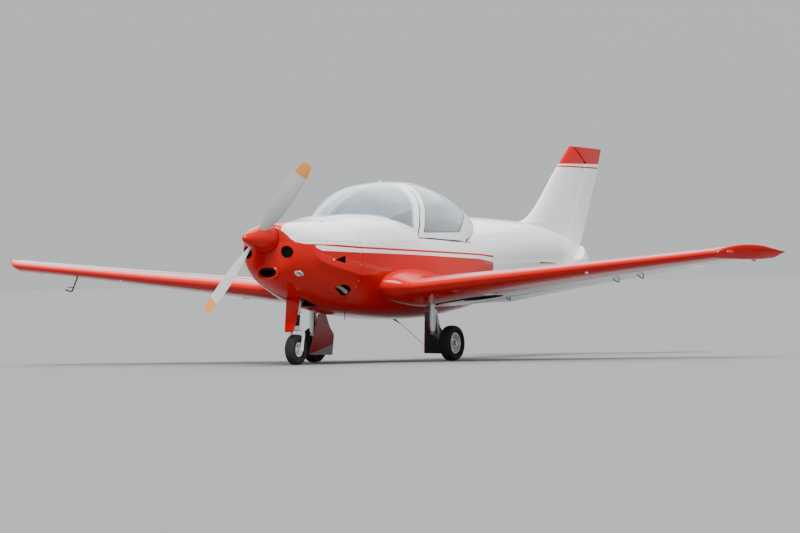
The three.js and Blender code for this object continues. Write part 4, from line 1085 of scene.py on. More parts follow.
def build_cowling():
    """The cowling's shell with its inlets, outlets, nose well and lamp hole, parted at the seam."""
    gap = bpy.context.scene.aircraft_sizes.seam / 2
    shell = dressed(body_solid(0, 357, FIREWALL - 0.6), body_paint())
    lip = [(0, 450), (0, 374), (3, 369.5), (8, 366.5), (13, 366.5), (18, 370), (20.5, 378), (20.5, 450)]
    join(shell, dressed(skin("lip", chin_rings(lip), looped=True), body_paint()))
    for side in (-1, 1):
        join(shell, dressed(inlet_rim(side), body_paint()))
    inside = body_solid(-COWL_SKIN, 376, 1170)
    tools = [inside, skin("chin", chin_rings([(0, 300), (0, 520)]))]
    tools.append(rod("shaft", (0, 300, AXIS_Z), (0, 420, AXIS_Z), 42))
    tools += [inlet_tube(side, 50, 300, 520) for side in (-1, 1)]
    tools.append(block("well", (-78, 772, 300), (78, 1060, 760)))
    tools.append(lamp_bar(25, 32))
    outlet = rounded([(905, 643), (1040, 575), (1092, 572), (1096, 622), (1050, 652), (985, 668)], 14)
    tools += [vent_wedge(side) for side in (-1, 1)]
    tools += [side_prism("outlet", outlet, 180, 600), side_prism("outlet", outlet, -600, -180)]
    # Every face that these tools cut, the cowling's inner face too, takes the near-black painted shade.
    cut(shell, *[dressed(tool, recess_shade()) for tool in tools])
    lower = copied(shell, "lower")
    for half, name, sign, far in ((shell, "cowl_upper", 1, 1600), (lower, "cowl_lower", -1, 200)):
        edge = [(200, split_z(200) + sign * gap), (1400, split_z(1400) + sign * gap), (1400, far), (200, far)]
        keep(half, side_prism("half", edge))
        half.name = f"{name}_skin"
        placed(half, "root", "white_paint" if sign > 0 else "red_paint", None, name)


def lamp_bar(radius, sides):
    """A round bar on the landing lamp's axis."""
    return rod("lens", (LAMP_X, 300, LAMP_Z), (LAMP_X, 620, LAMP_Z), radius, sides=sides)


def build_cowl_fittings():
    """Screws along the cowling's seam and firewall joint, the lamp behind its lens, and a tab."""
    station = np.arange(471, 1150, 95)
    screws = studs("seam_screws", *on_body(station, split_z(station) + 9), 4.6, 1.0)
    pair(screws, "seam_screws", "root", "steel", black_plastic())
    screws = studs("joint_screws", *on_body(np.full(4, FIREWALL - 15), [642, 692, 829, 923]), 4.0, 1.0)
    pair(screws, "joint_screws", "root", "silver_metal", silver())
    tab = studs("vent_tab", *on_body(VENT[:1, 0] - 14, VENT[:1, 1]), 7.0, 2.0, 16)
    pair(tab, "vent_tab", "root", "white_paint", white_paint())
    bowl = [(24, 40), (24, 0), (21, -2), (18, 12), (10, 28), (0.5, 33), (0.5, 40)]
    lamp = skin("lamp_bowl", lathe_rings(bowl, (LAMP_X, 492, LAMP_Z), "s", 40))
    placed(lamp, "root", "lamp_glass", silver())
    glass = keep(lamp_bar(23.5, 40), body_solid(0.5, 357, 640))
    cut(glass, body_solid(-3.5, 370, 660))
    glass.name = "landing_light_lens"
    placed(glass, "root", "lamp_glass", lamp_glass(), "landing_light")


def pair(piece, name, body, slot, material, node=None, angle=32):
    """Places a port piece as name_left and its mirror image as name_right. The words {side} and
    {hand} in the body and the node stand for left or right and port or starboard."""
    other = mirrored(piece, f"{name}_right")
    piece.name = f"{name}_left"
    for half, side, hand in ((piece, "left", "port"), (other, "right", "starboard")):
        nodes = [node.format(side=side, hand=hand)] if node else []
        placed(half, body.format(side=side, hand=hand), slot, material, *nodes, angle=angle)


# Propeller


def on_hub(points, turn):
    """Points made with the blade straight up, turned to the parked angle and moved to the hub."""
    angle = math.radians(PARKED + turn)
    cos, sin = math.cos(angle), math.sin(angle)
    x, y, z = np.moveaxis(np.asarray(points, float), -1, 0)
    return np.stack([x * cos + z * sin, y + HUB_S, z * cos - x * sin + AXIS_Z], -1)


def blade_rings(radii, grow=0.0):
    """Sections of a blade along its radius: an oval, fuller at its leading edge, turned by the pitch."""
    _, chord, thickness, pitch = rows_at(BLADE_ROWS, radii).T[..., None]
    angle = 2 * np.pi * np.arange(40) / 40
    across = (chord / 2 + grow) * np.cos(angle)
    deep = (thickness / 2 + grow) * np.sin(angle) * (0.75 + 0.25 * np.cos(angle))
    cos, sin = np.cos(np.radians(pitch)), np.sin(np.radians(pitch))
    height = np.broadcast_to(np.asarray(radii, float)[:, None], across.shape)
    return np.stack([across * cos - deep * sin, across * sin + deep * cos, height], -1)


def towards_end(start, end, count, first, last=1.0):
    """Values that close up towards an end, as the sine does on the way to a right angle."""
    return start + (end - start) * np.sin(np.linspace(first, last, count) * np.pi / 2)


def build_propeller():
    """Spinner, hub and two blades."""
    t = np.linspace(0, 1, 60) ** 1.6
    outside = np.column_stack([np.maximum(125 * t**0.53, 0.4), 350 * t])
    inside = np.column_stack([117 * t**0.53, 16 + 330 * t])[::-1][:-4]
    profile = np.concatenate([outside, [(123.5, 352.5), (34, 352.5), (34, 346.5), (117, 346.5)], inside[1:]])
    shell = turned("spinner_shell", profile, (0, 0, AXIS_Z), "s", 96)
    dressed(shell, red_paint())
    # The holes round the blades' roots take the near-black painted shade.
    for turn in (0, 180):
        rings = blade_rings(np.linspace(60, 160, 12), 4.5)
        cut(shell, dressed(skin("root", on_hub(rings, turn)), recess_shade()))
    placed(shell, "propeller", "red_paint", None, "spinner", angle=40)
    for number, turn in ((1, 0), (2, 180)):
        radii = np.concatenate([np.linspace(60, 740, 60), towards_end(740, 790, 16, 0.1)])
        blade = skin("blade", on_hub(blade_rings(radii), turn))
        join(blade, skin("stem", on_hub(swept([(0, 0, 31.3), (0, 0, 80)], 22, 32), turn)))
        blade.name = f"blade_{number}_skin"
        placed(blade, "propeller", "blade_grey", blade_paint(), f"blade_{number}", angle=50)
    rim = [(34, -45), (52, -45), (58, -39), (58, 39), (52, 45), (34, 45)]
    hub = turned("hub_body", rim, (0, HUB_S, AXIS_Z), "s", 64)
    join(hub, rod("hub_shaft", (0, 172, AXIS_Z), (0, 519, AXIS_Z), 31.5, sides=48))
    for turn in (0, 180):
        cut(hub, skin("socket", on_hub(swept([(0, 0, 31), (0, 0, 95)], 22.3, 32), turn)))
    hub.name = "propeller_hub_body"
    placed(hub, "propeller", "silver_metal", silver(), "propeller_hub")


# Windscreen and canopy


def ahead_of(edge, shift=0.0):
    """Side view of everything ahead of one of the bows' edges, a broken line up the dome."""
    return [*zip(BOWS[:, edge] + shift, BOWS[:, 0]), (700, 1650), (700, 900)]


def dome_shell(outer, inner):
    """The dome between two distances from its face."""
    stations = np.concatenate([np.arange(980, 3700, 22), [3700]])
    return cut(skin("dome", dome_rings(stations, outer)), skin("inside", dome_rings(stations, inner)))


def opened_body(gap):
    """The body as the glass meets it: grown by a gap, with the cabin's top open."""
    outline = [(s + (gap if s < 2500 else -gap), z + (gap if z < 1600 else 0)) for s, z in OPEN_TOP]
    return cut(body_solid(gap), side_prism("opening", outline))


def window_block(inset, side):
    """Space behind one of the canopy's side windows, with rounded corners."""
    bottom = WINDOW_FOOT + inset
    foot = float(rows_at(BOWS, bottom)[0, BOW_BACK]) + inset * 1.4
    raised = np.where(WINDOW_REAR[:, 1] == WINDOW_FOOT, inset, inset * 0.5)
    rear = WINDOW_REAR + np.column_stack([np.full(len(raised), -inset * 1.2), raised])
    above = BOWS[BOWS[:, 0] > bottom + 40][::-1]
    front = np.column_stack([above[:, BOW_BACK] + inset * 1.4, above[:, 0]])
    outline = np.concatenate([[(foot, bottom)], rear, [(rear[-1, 0], 1650)], front])
    low, high = sorted((side * 40, side * 900))
    window = side_prism("window", rounded(outline, 34), low, high)
    plan = [(side * (75 + inset), 2000), (side * (245 + inset), 3500), (side * 900, 3500), (side * 900, 2000)]
    return keep(window, plan_prism("plan", plan, 900, 1800))


def canopy_space(gap):
    """Everything that the sliding canopy leaves free: ahead of its front bow, below the sill line
    and on the deck it passes over as it slides."""
    tools = [side_prism("ahead", ahead_of(BOW_SEAM, gap))]
    below = [(900, sill_z(900) + gap), (4200, sill_z(4200) + gap), (4200, 200), (900, 200)]
    tools.append(side_prism("below", below))
    for share in (0, 0.05, 0.1, 0.13, 0.16, 0.25, 0.38, 0.5, 0.75, 1):
        rings = body_rings(np.arange(2760, 4620, 40), gap, 72)
        shift = np.array([0, -math.cos(SILL_FALL), math.sin(SILL_FALL)]) * SLIDE * share
        tools.append(skin("deck", (rings + shift)[(rings[:, 0, 1] + shift[1]) > 2700]))
    return tools


def build_windscreen():
    """The fixed windscreen, the white bow behind it and the seal along its foot."""
    below = ((-FAR, 700, 0), (FAR, 2600, 1000))
    glass = keep(dome_shell(0, -6), side_prism("front", ahead_of(BOW_FRONT, -0.5)))
    cut(glass, opened_body(0.5), block("below", *below))
    glass.name = "windscreen_pane"
    placed(glass, "root", "glazing", glazing(), "windscreen_glass", angle=50)
    bow = keep(dome_shell(0.8, -18), side_prism("seam", ahead_of(BOW_SEAM, -2)))
    cut(bow, side_prism("front", ahead_of(BOW_FRONT)), opened_body(0.5), block("below", *below))
    bow.name = "windscreen_bow_band"
    placed(bow, "root", "white_paint", bow_paint(), "windscreen_bow", angle=50)
    seal = keep(dome_shell(2.0, -8), side_prism("front", ahead_of(BOW_FRONT, -1)), body_solid(6, 900, 2400))
    cut(seal, opened_body(0), block("below", *below))
    seal.name = "windscreen_seal"
    placed(seal, "root", "white_paint", white_paint(), angle=50)
    strip = keep(dome_shell(-3.5, -12), side_prism("strip", ahead_of(BOW_SEAM, 4.5)))
    cut(strip, side_prism("front", ahead_of(BOW_SEAM, -3)), opened_body(0.5), block("below", *below))
    strip.name = "bow_seal"
    placed(strip, "root", "black_plastic", black_plastic(), angle=50)


def build_canopy():
    """The canopy's frame with its two rounded windows, its runners, panes, seals and knob."""
    frame_shell = cut(dome_shell(0, -18), *canopy_space(6))
    for side in (-1, 1):
        cut(frame_shell, window_block(0, side))
    for station in (2140, 2860):
        half = float(rows_at(DOME, station)[0, 1])
        low, high = station - 45, station + 45
        outline = [(low, sill_z(low) + 0.3), (high, sill_z(high) + 0.3), (high, 1050), (low, 1080)]
        for side in (-1, 1):
            near, far = sorted((side * (half - 13), side * (half - 3)))
            join(frame_shell, side_prism("runner", outline, near, far))
    frame_shell.name = "canopy_frame_shell"
    placed(frame_shell, "canopy", "white_paint", bow_paint(), "canopy_frame", angle=50)
    pane = keep(dome_shell(-1, -7), window_block(1.0, 1))
    cut(pane, *canopy_space(6))
    pair(pane, "canopy_pane", "canopy", "glazing", glazing(), "canopy_glass_{side}", 50)
    seal = keep(dome_shell(0.6, -19), window_block(-0.2, 1))
    cut(seal, window_block(4.5, 1), *canopy_space(6))
    pair(seal, "canopy_seal", "canopy", "black_plastic", black_plastic(), angle=50)
    top = float(rows_at(DOME, 2262)[0, 2])
    knob = [(0.5, -4), (9, -4), (9, 4), (7, 8), (9, 12), (8, 17), (0.5, 19)]
    placed(skin("bow_knob", lathe_rings(knob, (0, 2262, top), "z", 32)), "root", "white_paint", white_paint())


# Wings


def section_fullness(t):
    """Half thickness of the section, as a share of its full thickness, at a share of the chord."""
    return 5 * (0.2969 * np.sqrt(t) - 0.126 * t - 0.3516 * t**2 + 0.2843 * t**3 - 0.1036 * t**4)


def wing_at(x, t):
    """Station, middle height and half thickness of the wing at spans and shares of the chord: the
    chord line falls with the incidence, and a parabola of camber rises from it."""
    x, t = np.broadcast_arrays(np.asarray(x, float), np.asarray(t, float))
    _, leading, chord, height, thick, incidence = rows_at(WING_ROWS, x.ravel()).T.reshape(6, *x.shape)
    fall = (t - 0.3) * chord * np.tan(np.radians(incidence))
    middle = height - fall + 0.1 * thick * 4 * t * (1 - t)
    return leading + t * chord, middle, np.maximum(thick * section_fullness(t), 2.0)


def wing_point(x, t):
    """The same three values at one place, as plain numbers."""
    return [float(value) for value in wing_at(x, t)]


def section_path(count=46):
    """Shares of the chord once round a section, close together at both edges, and the face that
    each lies on: the lower one, -1, from the trailing edge to the nose, then the upper one, 1."""
    shares = (1 - np.cos(np.linspace(0, np.pi, count)[1:])) / 2
    ones = np.ones(count - 1)
    return np.concatenate([shares[::-1], [0.0], shares]), np.concatenate([-ones, [0.0], ones])


def wing_rings(x, thin=1.0):
    """Closed rings round the wing at spans given for each point round the ring."""
    t, face = section_path()
    x = np.broadcast_to(np.asarray(x, float).reshape(len(x), -1), (len(x), len(t)))
    station, middle, half = wing_at(x, np.broadcast_to(t, x.shape))
    spread = smooth_step(x, 3300, 3700)
    table = np.asarray(TIP_SPREAD, float)
    rise, drop = (np.interp(t, table[:, 0], table[:, k]) * spread for k in (1, 2))
    reach = np.where(face > 0, half + rise, half + drop) * np.abs(face) * thin
    return np.stack([x, station, middle + face * reach], -1)


# The wing's end face moves out by this share of the height above a level
TIP_LEAN, TIP_LEAN_Z = 0.8, 880
# Depths of the cap and of its rounded end, and the slant of its edge beside the lamp
TIP_CAP, TIP_ROUND = 70, 42
TIP_SLANT = math.atan2(105, 185)
# Share of the chord at the hinge line, and the spans where flap and aileron end and hang
HINGE_SHARE = 0.72
FLAP_START, FLAP_END, AILERON_END = 610, 2250, 3560
FLAP_LUGS, AILERON_LUGS = (990, 2120), (2370, 3500)


def lean_out(points):
    """Moves points outboard with their height, so that the tip's end face leans."""
    return points + (points[:, 2:] - TIP_LEAN_Z) * [[TIP_LEAN, 0, 0]]


def beyond_tip(inset):
    """Everything outboard of the tip's end face, moved inboard by an inset."""
    edge = [(x - inset, s) for x, s in TIP_EDGE] + [(6000, 2900), (6000, 1400)]
    return plan_prism("beyond", edge, 500, 1300, lean_out)


def wing_span_solid():
    """The whole wing inboard of its cap, with flap and aileron still in one piece."""
    x = np.concatenate([np.arange(400, 1100, 25), np.arange(1100, 3300, 55), np.arange(3300, 3860, 25)])
    whole = skin("wing", wing_rings(x[:, None]))
    return cut(whole, beyond_tip(TIP_CAP + 1), block("far", (3775, 0, 0), (5000, FAR, FAR)))


def tip_rings():
    """The wing's cap: rings that follow the slanted end face at insets from it. Near the end they
    thin out as a quarter circle does, so that the end is round."""
    turned_in = towards_end(TIP_ROUND, 0, 18, 0, 0.97)
    insets = np.concatenate([np.linspace(TIP_CAP, TIP_ROUND + 3, 6), turned_in])
    share = np.clip(1 - (1 - np.minimum(insets / TIP_ROUND, 1)) ** 2, 0.02, 1)
    thin = np.sqrt(share)[:, None]
    edge = np.asarray(TIP_EDGE, float)
    x = np.full((len(insets), len(section_path()[0])), 3700.0)
    for _ in range(12):
        rings = wing_rings(x, thin)
        face = np.interp(rings[..., 1], edge[:, 1], edge[:, 0]) + TIP_LEAN * (rings[..., 2] - TIP_LEAN_Z)
        x = np.minimum(face, 3775) - insets[:, None]
    return wing_rings(x, thin)


def hinged(whole, rule, span, halves, brackets):
    """Parts a moving surface from a whole one along a hinge line: it gets a round nose about the
    line, and the fixed part a bay for it with lugs. Gives the surface, the bay and the lugs."""
    (start, end), (half_start, half_end) = span, halves
    front = [(start - 1, -half_start - RUNNING_GAP), (end + 1, -half_end - RUNNING_GAP)]
    bay = plan_prism("bay", [*front, (end + 1, 1200), (start - 1, 1200)], -400, 400, rule)
    low, high = start + RUNNING_GAP, end - RUNNING_GAP
    blank = plan_prism("blank", [(low, 0), (high, 0), (high, 1200), (low, 1200)], -400, 400, rule)
    nose = skin("nose", rule(swept([(low, 0, 0), (high, 0, 0)], [half_start - 1, half_end - 1], 40)))
    surface = join(keep(whole, blank), nose)
    lugs = []
    angle = np.linspace(-np.pi / 2, np.pi / 2, 12)
    reach = max(halves) + 60
    outline = [(-reach, -9), *zip(9 * np.cos(angle), 9 * np.sin(angle)), (-reach, 9)]
    for at in brackets:
        near, far = at - 3.4, at + 3.4
        slot = [(near, -300), (far, -300), (far, 12), (near, 12)]
        cut(surface, plan_prism("slot", slot, -300, 300, rule))
        lugs.append(prism("lug", outline, at - 3, at + 3, "x", rule))
    return surface, bay, lugs


def hinge_point(x):
    """Point of the flap and aileron hinge line at a span, with the wing's half thickness there."""
    station, middle, half = wing_point(x, HINGE_SHARE)
    return np.array([x, station, middle]), half


def hinge_arm(rule, at, half):
    """A thin bar bent to a V that hangs under a moving surface, just behind its hinge."""
    path = [(at, -4, 1 - half), (at, 40, -half - 22), (at, 82, -half - 34), (at, 90, -half - 8)]
    return skin("arm", rule(swept(curve_through([*path, (at, 92, 8 - half)], 40), 4.5, 12)))


def build_wings():
    """Wings with their gear wells, flaps, ailerons, hinge lugs and rounded caps."""
    whole = dressed(wing_span_solid(), wing_paint())
    ends = [hinge_point(x) for x in (FLAP_START, FLAP_END, AILERON_END)]
    (inner, half_in), (joint, half_joint), (outer, half_out) = ends
    rule = basis(outer - inner, inner)

    def along(x):
        """Distance along the hinge line at a span."""
        return float(np.linalg.norm(hinge_point(x)[0] - inner))

    middle, end = np.linalg.norm(joint - inner), np.linalg.norm(outer - inner)
    places, halves = [along(x) for x in FLAP_LUGS], (half_in, half_joint)
    flap, flap_bay, lugs = hinged(copied(whole, "flap"), rule, (0, middle), halves, places)
    places, halves = [along(x) for x in AILERON_LUGS], (half_joint, half_out)
    aileron, aileron_bay, more = hinged(copied(whole, "aileron"), rule, (middle, end), halves, places)
    well = block("leg_bay", (545, 2047, 300), (1010, 2152, 610))
    join(well, rod("wheel_bay", (1010, 2230, 300), (1010, 2230, 640), 172, sides=64))
    # The bays for flap and aileron and the gear well take the near-black painted shade.
    cut(whole, *[dressed(tool, recess_shade()) for tool in (flap_bay, aileron_bay, well)])
    join(whole, *[dressed(lug, black_plastic()) for lug in lugs + more])
    cut(whole, body_solid(0.8, 1100, 3800))
    pair(whole, "wing_skin", "root", "white_paint", None, "wing_{side}")
    for name, places in (("flap", FLAP_LUGS), ("aileron", AILERON_LUGS)):
        arms = merged("arms", [hinge_arm(rule, along(x), hinge_point(x)[1]) for x in places])
        pair(arms, f"{name}_arms", f"{name}_{{hand}}", "black_plastic", black_plastic())
    pair(skin("cap", tip_rings()), "wingtip_cap", "root", "red_paint", red_paint(), "wingtip_{side}", 40)
    pair(flap, "flap_skin", "flap_{hand}", "white_paint", None, "flap_{side}")
    pair(aileron, "aileron_skin", "aileron_{hand}", "white_paint", None, "aileron_{side}")


# Tail


def tail_slices(table, levels, upright):
    """Rings of a symmetric section at levels of a table of leading edge, chord or trailing edge and
    thickness: upright for the fin, lying for the tailplane."""
    rows = rows_at(table, levels)
    t, face = section_path(40)
    level, leading, last, thick = rows.T[..., None]
    if upright:
        station = leading + t * (last - leading)
        across = np.maximum(2 * thick * section_fullness(t), 2) * face
        return np.stack([across, station, np.broadcast_to(level, across.shape)], -1)
    up = np.maximum(thick * section_fullness(t), 1.5) * face
    return np.stack([np.broadcast_to(level, up.shape), leading + t * last, TAIL_Z + up], -1)


def lug_plate(point, ahead, half, width, reach):
    """A flat plate square to the rudder's hinge line."""
    along = RUDDER_HIGH - RUDDER_LOW
    along /= np.linalg.norm(along)
    rule = out_of([[1, 0, 0], [0, -along[2], along[1]], along], point)
    rear = 36 + ahead
    outline = [(-width, -reach), (width, -reach), (width, rear), (-width, rear)]
    return plan_prism("lug", outline, -half, half, rule)


def build_fin():
    """Fin and rudder from one section, parted along the hinge line, with the top cut slanting aft."""
    levels = [*range(830, 1170, 40), *range(1170, 1320, 8), *range(1320, 1901, 20)]
    whole = skin("whole", tail_slices(FIN_ROWS, levels, True))
    cut(whole, side_prism("top", [(5400, 1873), (6500, 1824), (6500, 2100), (5400, 2100)]))
    dressed(whole, fin_paint())
    low, high = RUDDER_LOW, RUDDER_HIGH
    nose = keep(rod("nose", low, high, 36, 24, 48), copied(whole, "half"))
    keep(nose, side_prism("side", rudder_outline(43, 0)))
    rudder = join(keep(copied(whole, "rudder"), side_prism("side", rudder_outline(0, 0))), nose)
    lugs = [lug_plate(low + (high - low) * share, 50, 3, 9, 9) for share in (0.16, 0.9)]
    slots = [lug_plate(low + (high - low) * share, 300, 3.4, 300, 17) for share in (0.16, 0.9)]
    cut(rudder, *slots)
    cut(whole, side_prism("notch", rudder_outline(RUDDER_NOTCH, RUNNING_GAP)))
    join(whole, *[dressed(lug, black_plastic()) for lug in lugs])
    cut(whole, body_solid(0.5, 4300, 5940))
    whole.name, rudder.name = "fin_skin", "rudder_skin"
    placed(whole, "root", "white_paint", None, "fin")
    placed(rudder, "rudder", "white_paint", None, "rudder")


def build_tailplane():
    """Tailplane and elevator on both sides, with the tube that joins the elevators."""
    levels = np.concatenate([np.arange(40, 1170, 40), towards_end(1170, TAIL_TIP, 10, 0.05)])
    whole = dressed(skin("tail", tail_slices(TAIL_ROWS, levels, False)), white_paint())

    def at(x):
        """Point of the hinge line at a span, with the tailplane's half thickness there."""
        _, leading, chord, thick = rows_at(TAIL_ROWS, x)[0]
        half = thick * float(section_fullness((ELEVATOR_S - leading) / chord))
        return np.array([x, ELEVATOR_S, TAIL_Z], float), half

    (inner, half_in), (_, half_out) = at(ELEVATOR_ROOT - RUNNING_GAP), at(1170)
    span = TAIL_TIP - ELEVATOR_ROOT + RUNNING_GAP * 2
    rule = basis((1, 0, 0), inner)
    elevator, bay, lugs = hinged(copied(whole, "elevator"), rule, (0, span), (half_in, half_out), (230, 880))
    root = block("root", (0, ELEVATOR_S - half_in - RUNNING_GAP, 600), (ELEVATOR_ROOT, 6200, 900))
    # The bay in front of the elevator takes the near-black painted shade.
    cut(whole, dressed(bay, recess_shade()), root)
    join(whole, *lugs)
    cut(whole, body_solid(0.5, 4300, 5940))
    pair(whole, "tailplane_skin", "root", "white_paint", None, "tailplane_{side}")
    pair(elevator, "elevator_skin", "elevator", "white_paint", None, "elevator_{side}")
    half = ELEVATOR_ROOT - 0.3
    tube = rod("elevator_torque_tube", (-half, ELEVATOR_S, TAIL_Z), (half, ELEVATOR_S, TAIL_Z), 11)
    placed(tube, "elevator", "steel", steel(), "elevator_tube")


# Landing gear


def tyre_profile(radius, rim, width):
    """The tyre's section from rim to rim: a squared oval with four grooves pressed in its tread."""
    angle = np.linspace(-1.28, 1.28, 121) * np.pi / 2
    middle, reach, half = (radius + rim) / 2, (radius - rim) / 2, width / 2
    across = half * signed_power(np.sin(angle), 0.75)
    out = middle + reach * signed_power(np.cos(angle), 0.62)
    groove = sum(np.exp(-(((across - at * half) / 2.2) ** 2)) for at in (-0.52, -0.18, 0.18, 0.52))
    return np.column_stack([np.maximum(out - 3.5 * groove * (out > middle + reach * 0.6), rim), across])


def wheel_pieces(name, centre, radius, rim, width, axle):
    """A tyre with grooves, a hub with a dished web, and the bolts and a cap on each side."""
    tyre = turned(f"{name}_tyre_body", tyre_profile(radius, rim, width), centre, "x", 120)
    half = width * 0.36
    edge = rim - 0.4
    web = [(axle + 0.4, 0.8), (axle * 1.7, 0.82), (axle * 1.9, 0.74), (axle * 2.1, 0.2), (edge - 22, 0.12)]
    web += [(edge - 13, 0.4), (edge - 9, 0.99), (edge - 2, 1), (edge, 0.96)]
    profile = [(at, share * half) for at, share in web] + [(at, -share * half) for at, share in web[::-1]]
    hub = turned(f"{name}_hub_body", profile, centre, "x", 72)
    angle = np.tile(2 * np.pi * np.arange(6) / 6, 2)
    sign = np.repeat([-1.0, 1.0], 6)
    ring = (edge - 20 + axle * 2.2) / 2
    points = np.stack([sign * half * 0.16, ring * np.cos(angle), ring * np.sin(angle)], -1) + centre
    bolts = [studs("bolts", points, sign[:, None] * [[1, 0, 0]], 5.0, 9.0, 6)]
    disc = np.array([(0.5, 0.0), (axle * 1.5, 0.0), (axle * 1.5, 2.5), (axle, 4.0), (0.5, 4.0)])
    for side in (-1, 1):
        bolts.append(turned("cap", (disc + [0, half * 0.83]) * [1, side], centre, "x", 24))
    return tyre, hub, merged(f"{name}_bolts", bolts)


def along_line(start, end, share):
    """Point at a share of the way between two points."""
    return np.asarray(start, float) * (1 - share) + np.asarray(end, float) * share


NOSE_LEG_TOP, NOSE_LEG_FOOT = np.array([0, 905, 640.0]), np.array([0, 838, 320.0])
NOSE_AXLE, MAIN_AXLE = (0, 815, 128), (680, 2262, 150)


def build_nose_gear():
    """Nose strut, gaiter, fork and wheel."""
    top, head = NOSE_LEG_TOP, NOSE_LEG_FOOT
    strut = rod("nose_strut_body", top, head, 19, sides=40)
    for s in (905, 1050):
        join(strut, rod("cross", (-66, s, 628), (66, s, 628), 13))
    for x in (-66, 66):
        join(strut, rod("rail", (x, 893, 628), (x, 1149.5, 628), 12))
    join(strut, rod("brace", (0, 869, 470), (0, 1050, 628), 8))
    for share in (0.32, 0.62):
        a, b = along_line(top, head, share - 0.02), along_line(top, head, share + 0.02)
        join(strut, rod("collar", a, b, 23.5, sides=40))
    cut(strut, rod("socket", along_line(head, top, -0.02), along_line(head, top, 0.2), 8.9, sides=32))
    placed(strut, "root", "silver_metal", silver(), "nose_strut")
    along = (top - head) / np.linalg.norm(top - head)
    gaiter = [(19.5, 4), *[(20.8 + 1.2 * math.cos(i * np.pi), 8 + i * 5.0) for i in range(18)], (19.5, 98)]
    rings = swept([head + along * offset for _, offset in gaiter], [radius for radius, _ in gaiter], 40)
    placed(skin("nose_gaiter", rings), "root", "silver_metal", black_plastic())
    head = head - along * 0.6
    fork = rod("fork", head, head + along * 55, 8, sides=32)
    join(fork, rod("crown", head - along * 34, head, 24, sides=40))
    _, s, z = NOSE_AXLE
    for sign in (-1, 1):
        x = sign * 59
        path = [head - along * 17, (sign * 43.5, 838, 294), (x, 842, 258), (x, 832, 200), (x, s, z - 4)]
        join(fork, skin("arm", swept(curve_through(path, 40), np.linspace(15, 11, 40), 24)))
        join(fork, rod("boss", (sign * 49, s, z), (sign * 67, s, z), 15, sides=32))
    join(fork, rod("pin", (-70, s, z), (70, s, z), 9, sides=32))
    fork.name = "nose_fork_body"
    placed(fork, "nose_leg", "white_paint", white_paint(), "nose_fork")
    tyre, hub, bolts = wheel_pieces("nose", NOSE_AXLE, 128, 62, 88, 9)
    placed(tyre, "nose_wheel", "tyre_rubber", tyre_rubber(), "nose_tyre")
    placed(hub, "nose_wheel", "white_paint", white_paint(), "nose_hub")
    placed(bolts, "nose_wheel", "steel", black_plastic())


def build_nose_door():
    """The nose gear's door: a plate that hangs ahead of the strut, tied to it, with two ribs."""
    top = np.array([0, 808, 618.0])
    down = np.array([0, -100, -343.0])
    length = float(np.linalg.norm(down))
    down /= length
    rule = out_of([[1, 0, 0], down, np.cross([1, 0, 0], down)], top)
    outline = rounded([(-74, 0), (74, 0), (43, length), (-43, length)], 12)
    plate = dressed(plan_prism("door", outline, -2, 2, rule), red_paint())
    for share in (0.3, 0.85):
        leg = along_line(NOSE_LEG_TOP, NOSE_LEG_FOOT, share)
        on_door = top + down * (leg[2] - top[2]) / down[2]
        join(plate, dressed(rod("tie", leg - [0, 21.27, 0], on_door, 6), silver()))
    # The ribs on the door's rear face take the near-black painted shade.
    for low in (40, 300):
        rib = [(-40, low), (40, low), (40, low + 8), (-40, low + 8)]
        join(plate, dressed(plan_prism("rib", rib, 1, 9, rule), recess_shade()))
    plate.name = "nose_door_plate"
    placed(plate, "root", "red_paint", None, "nose_door")


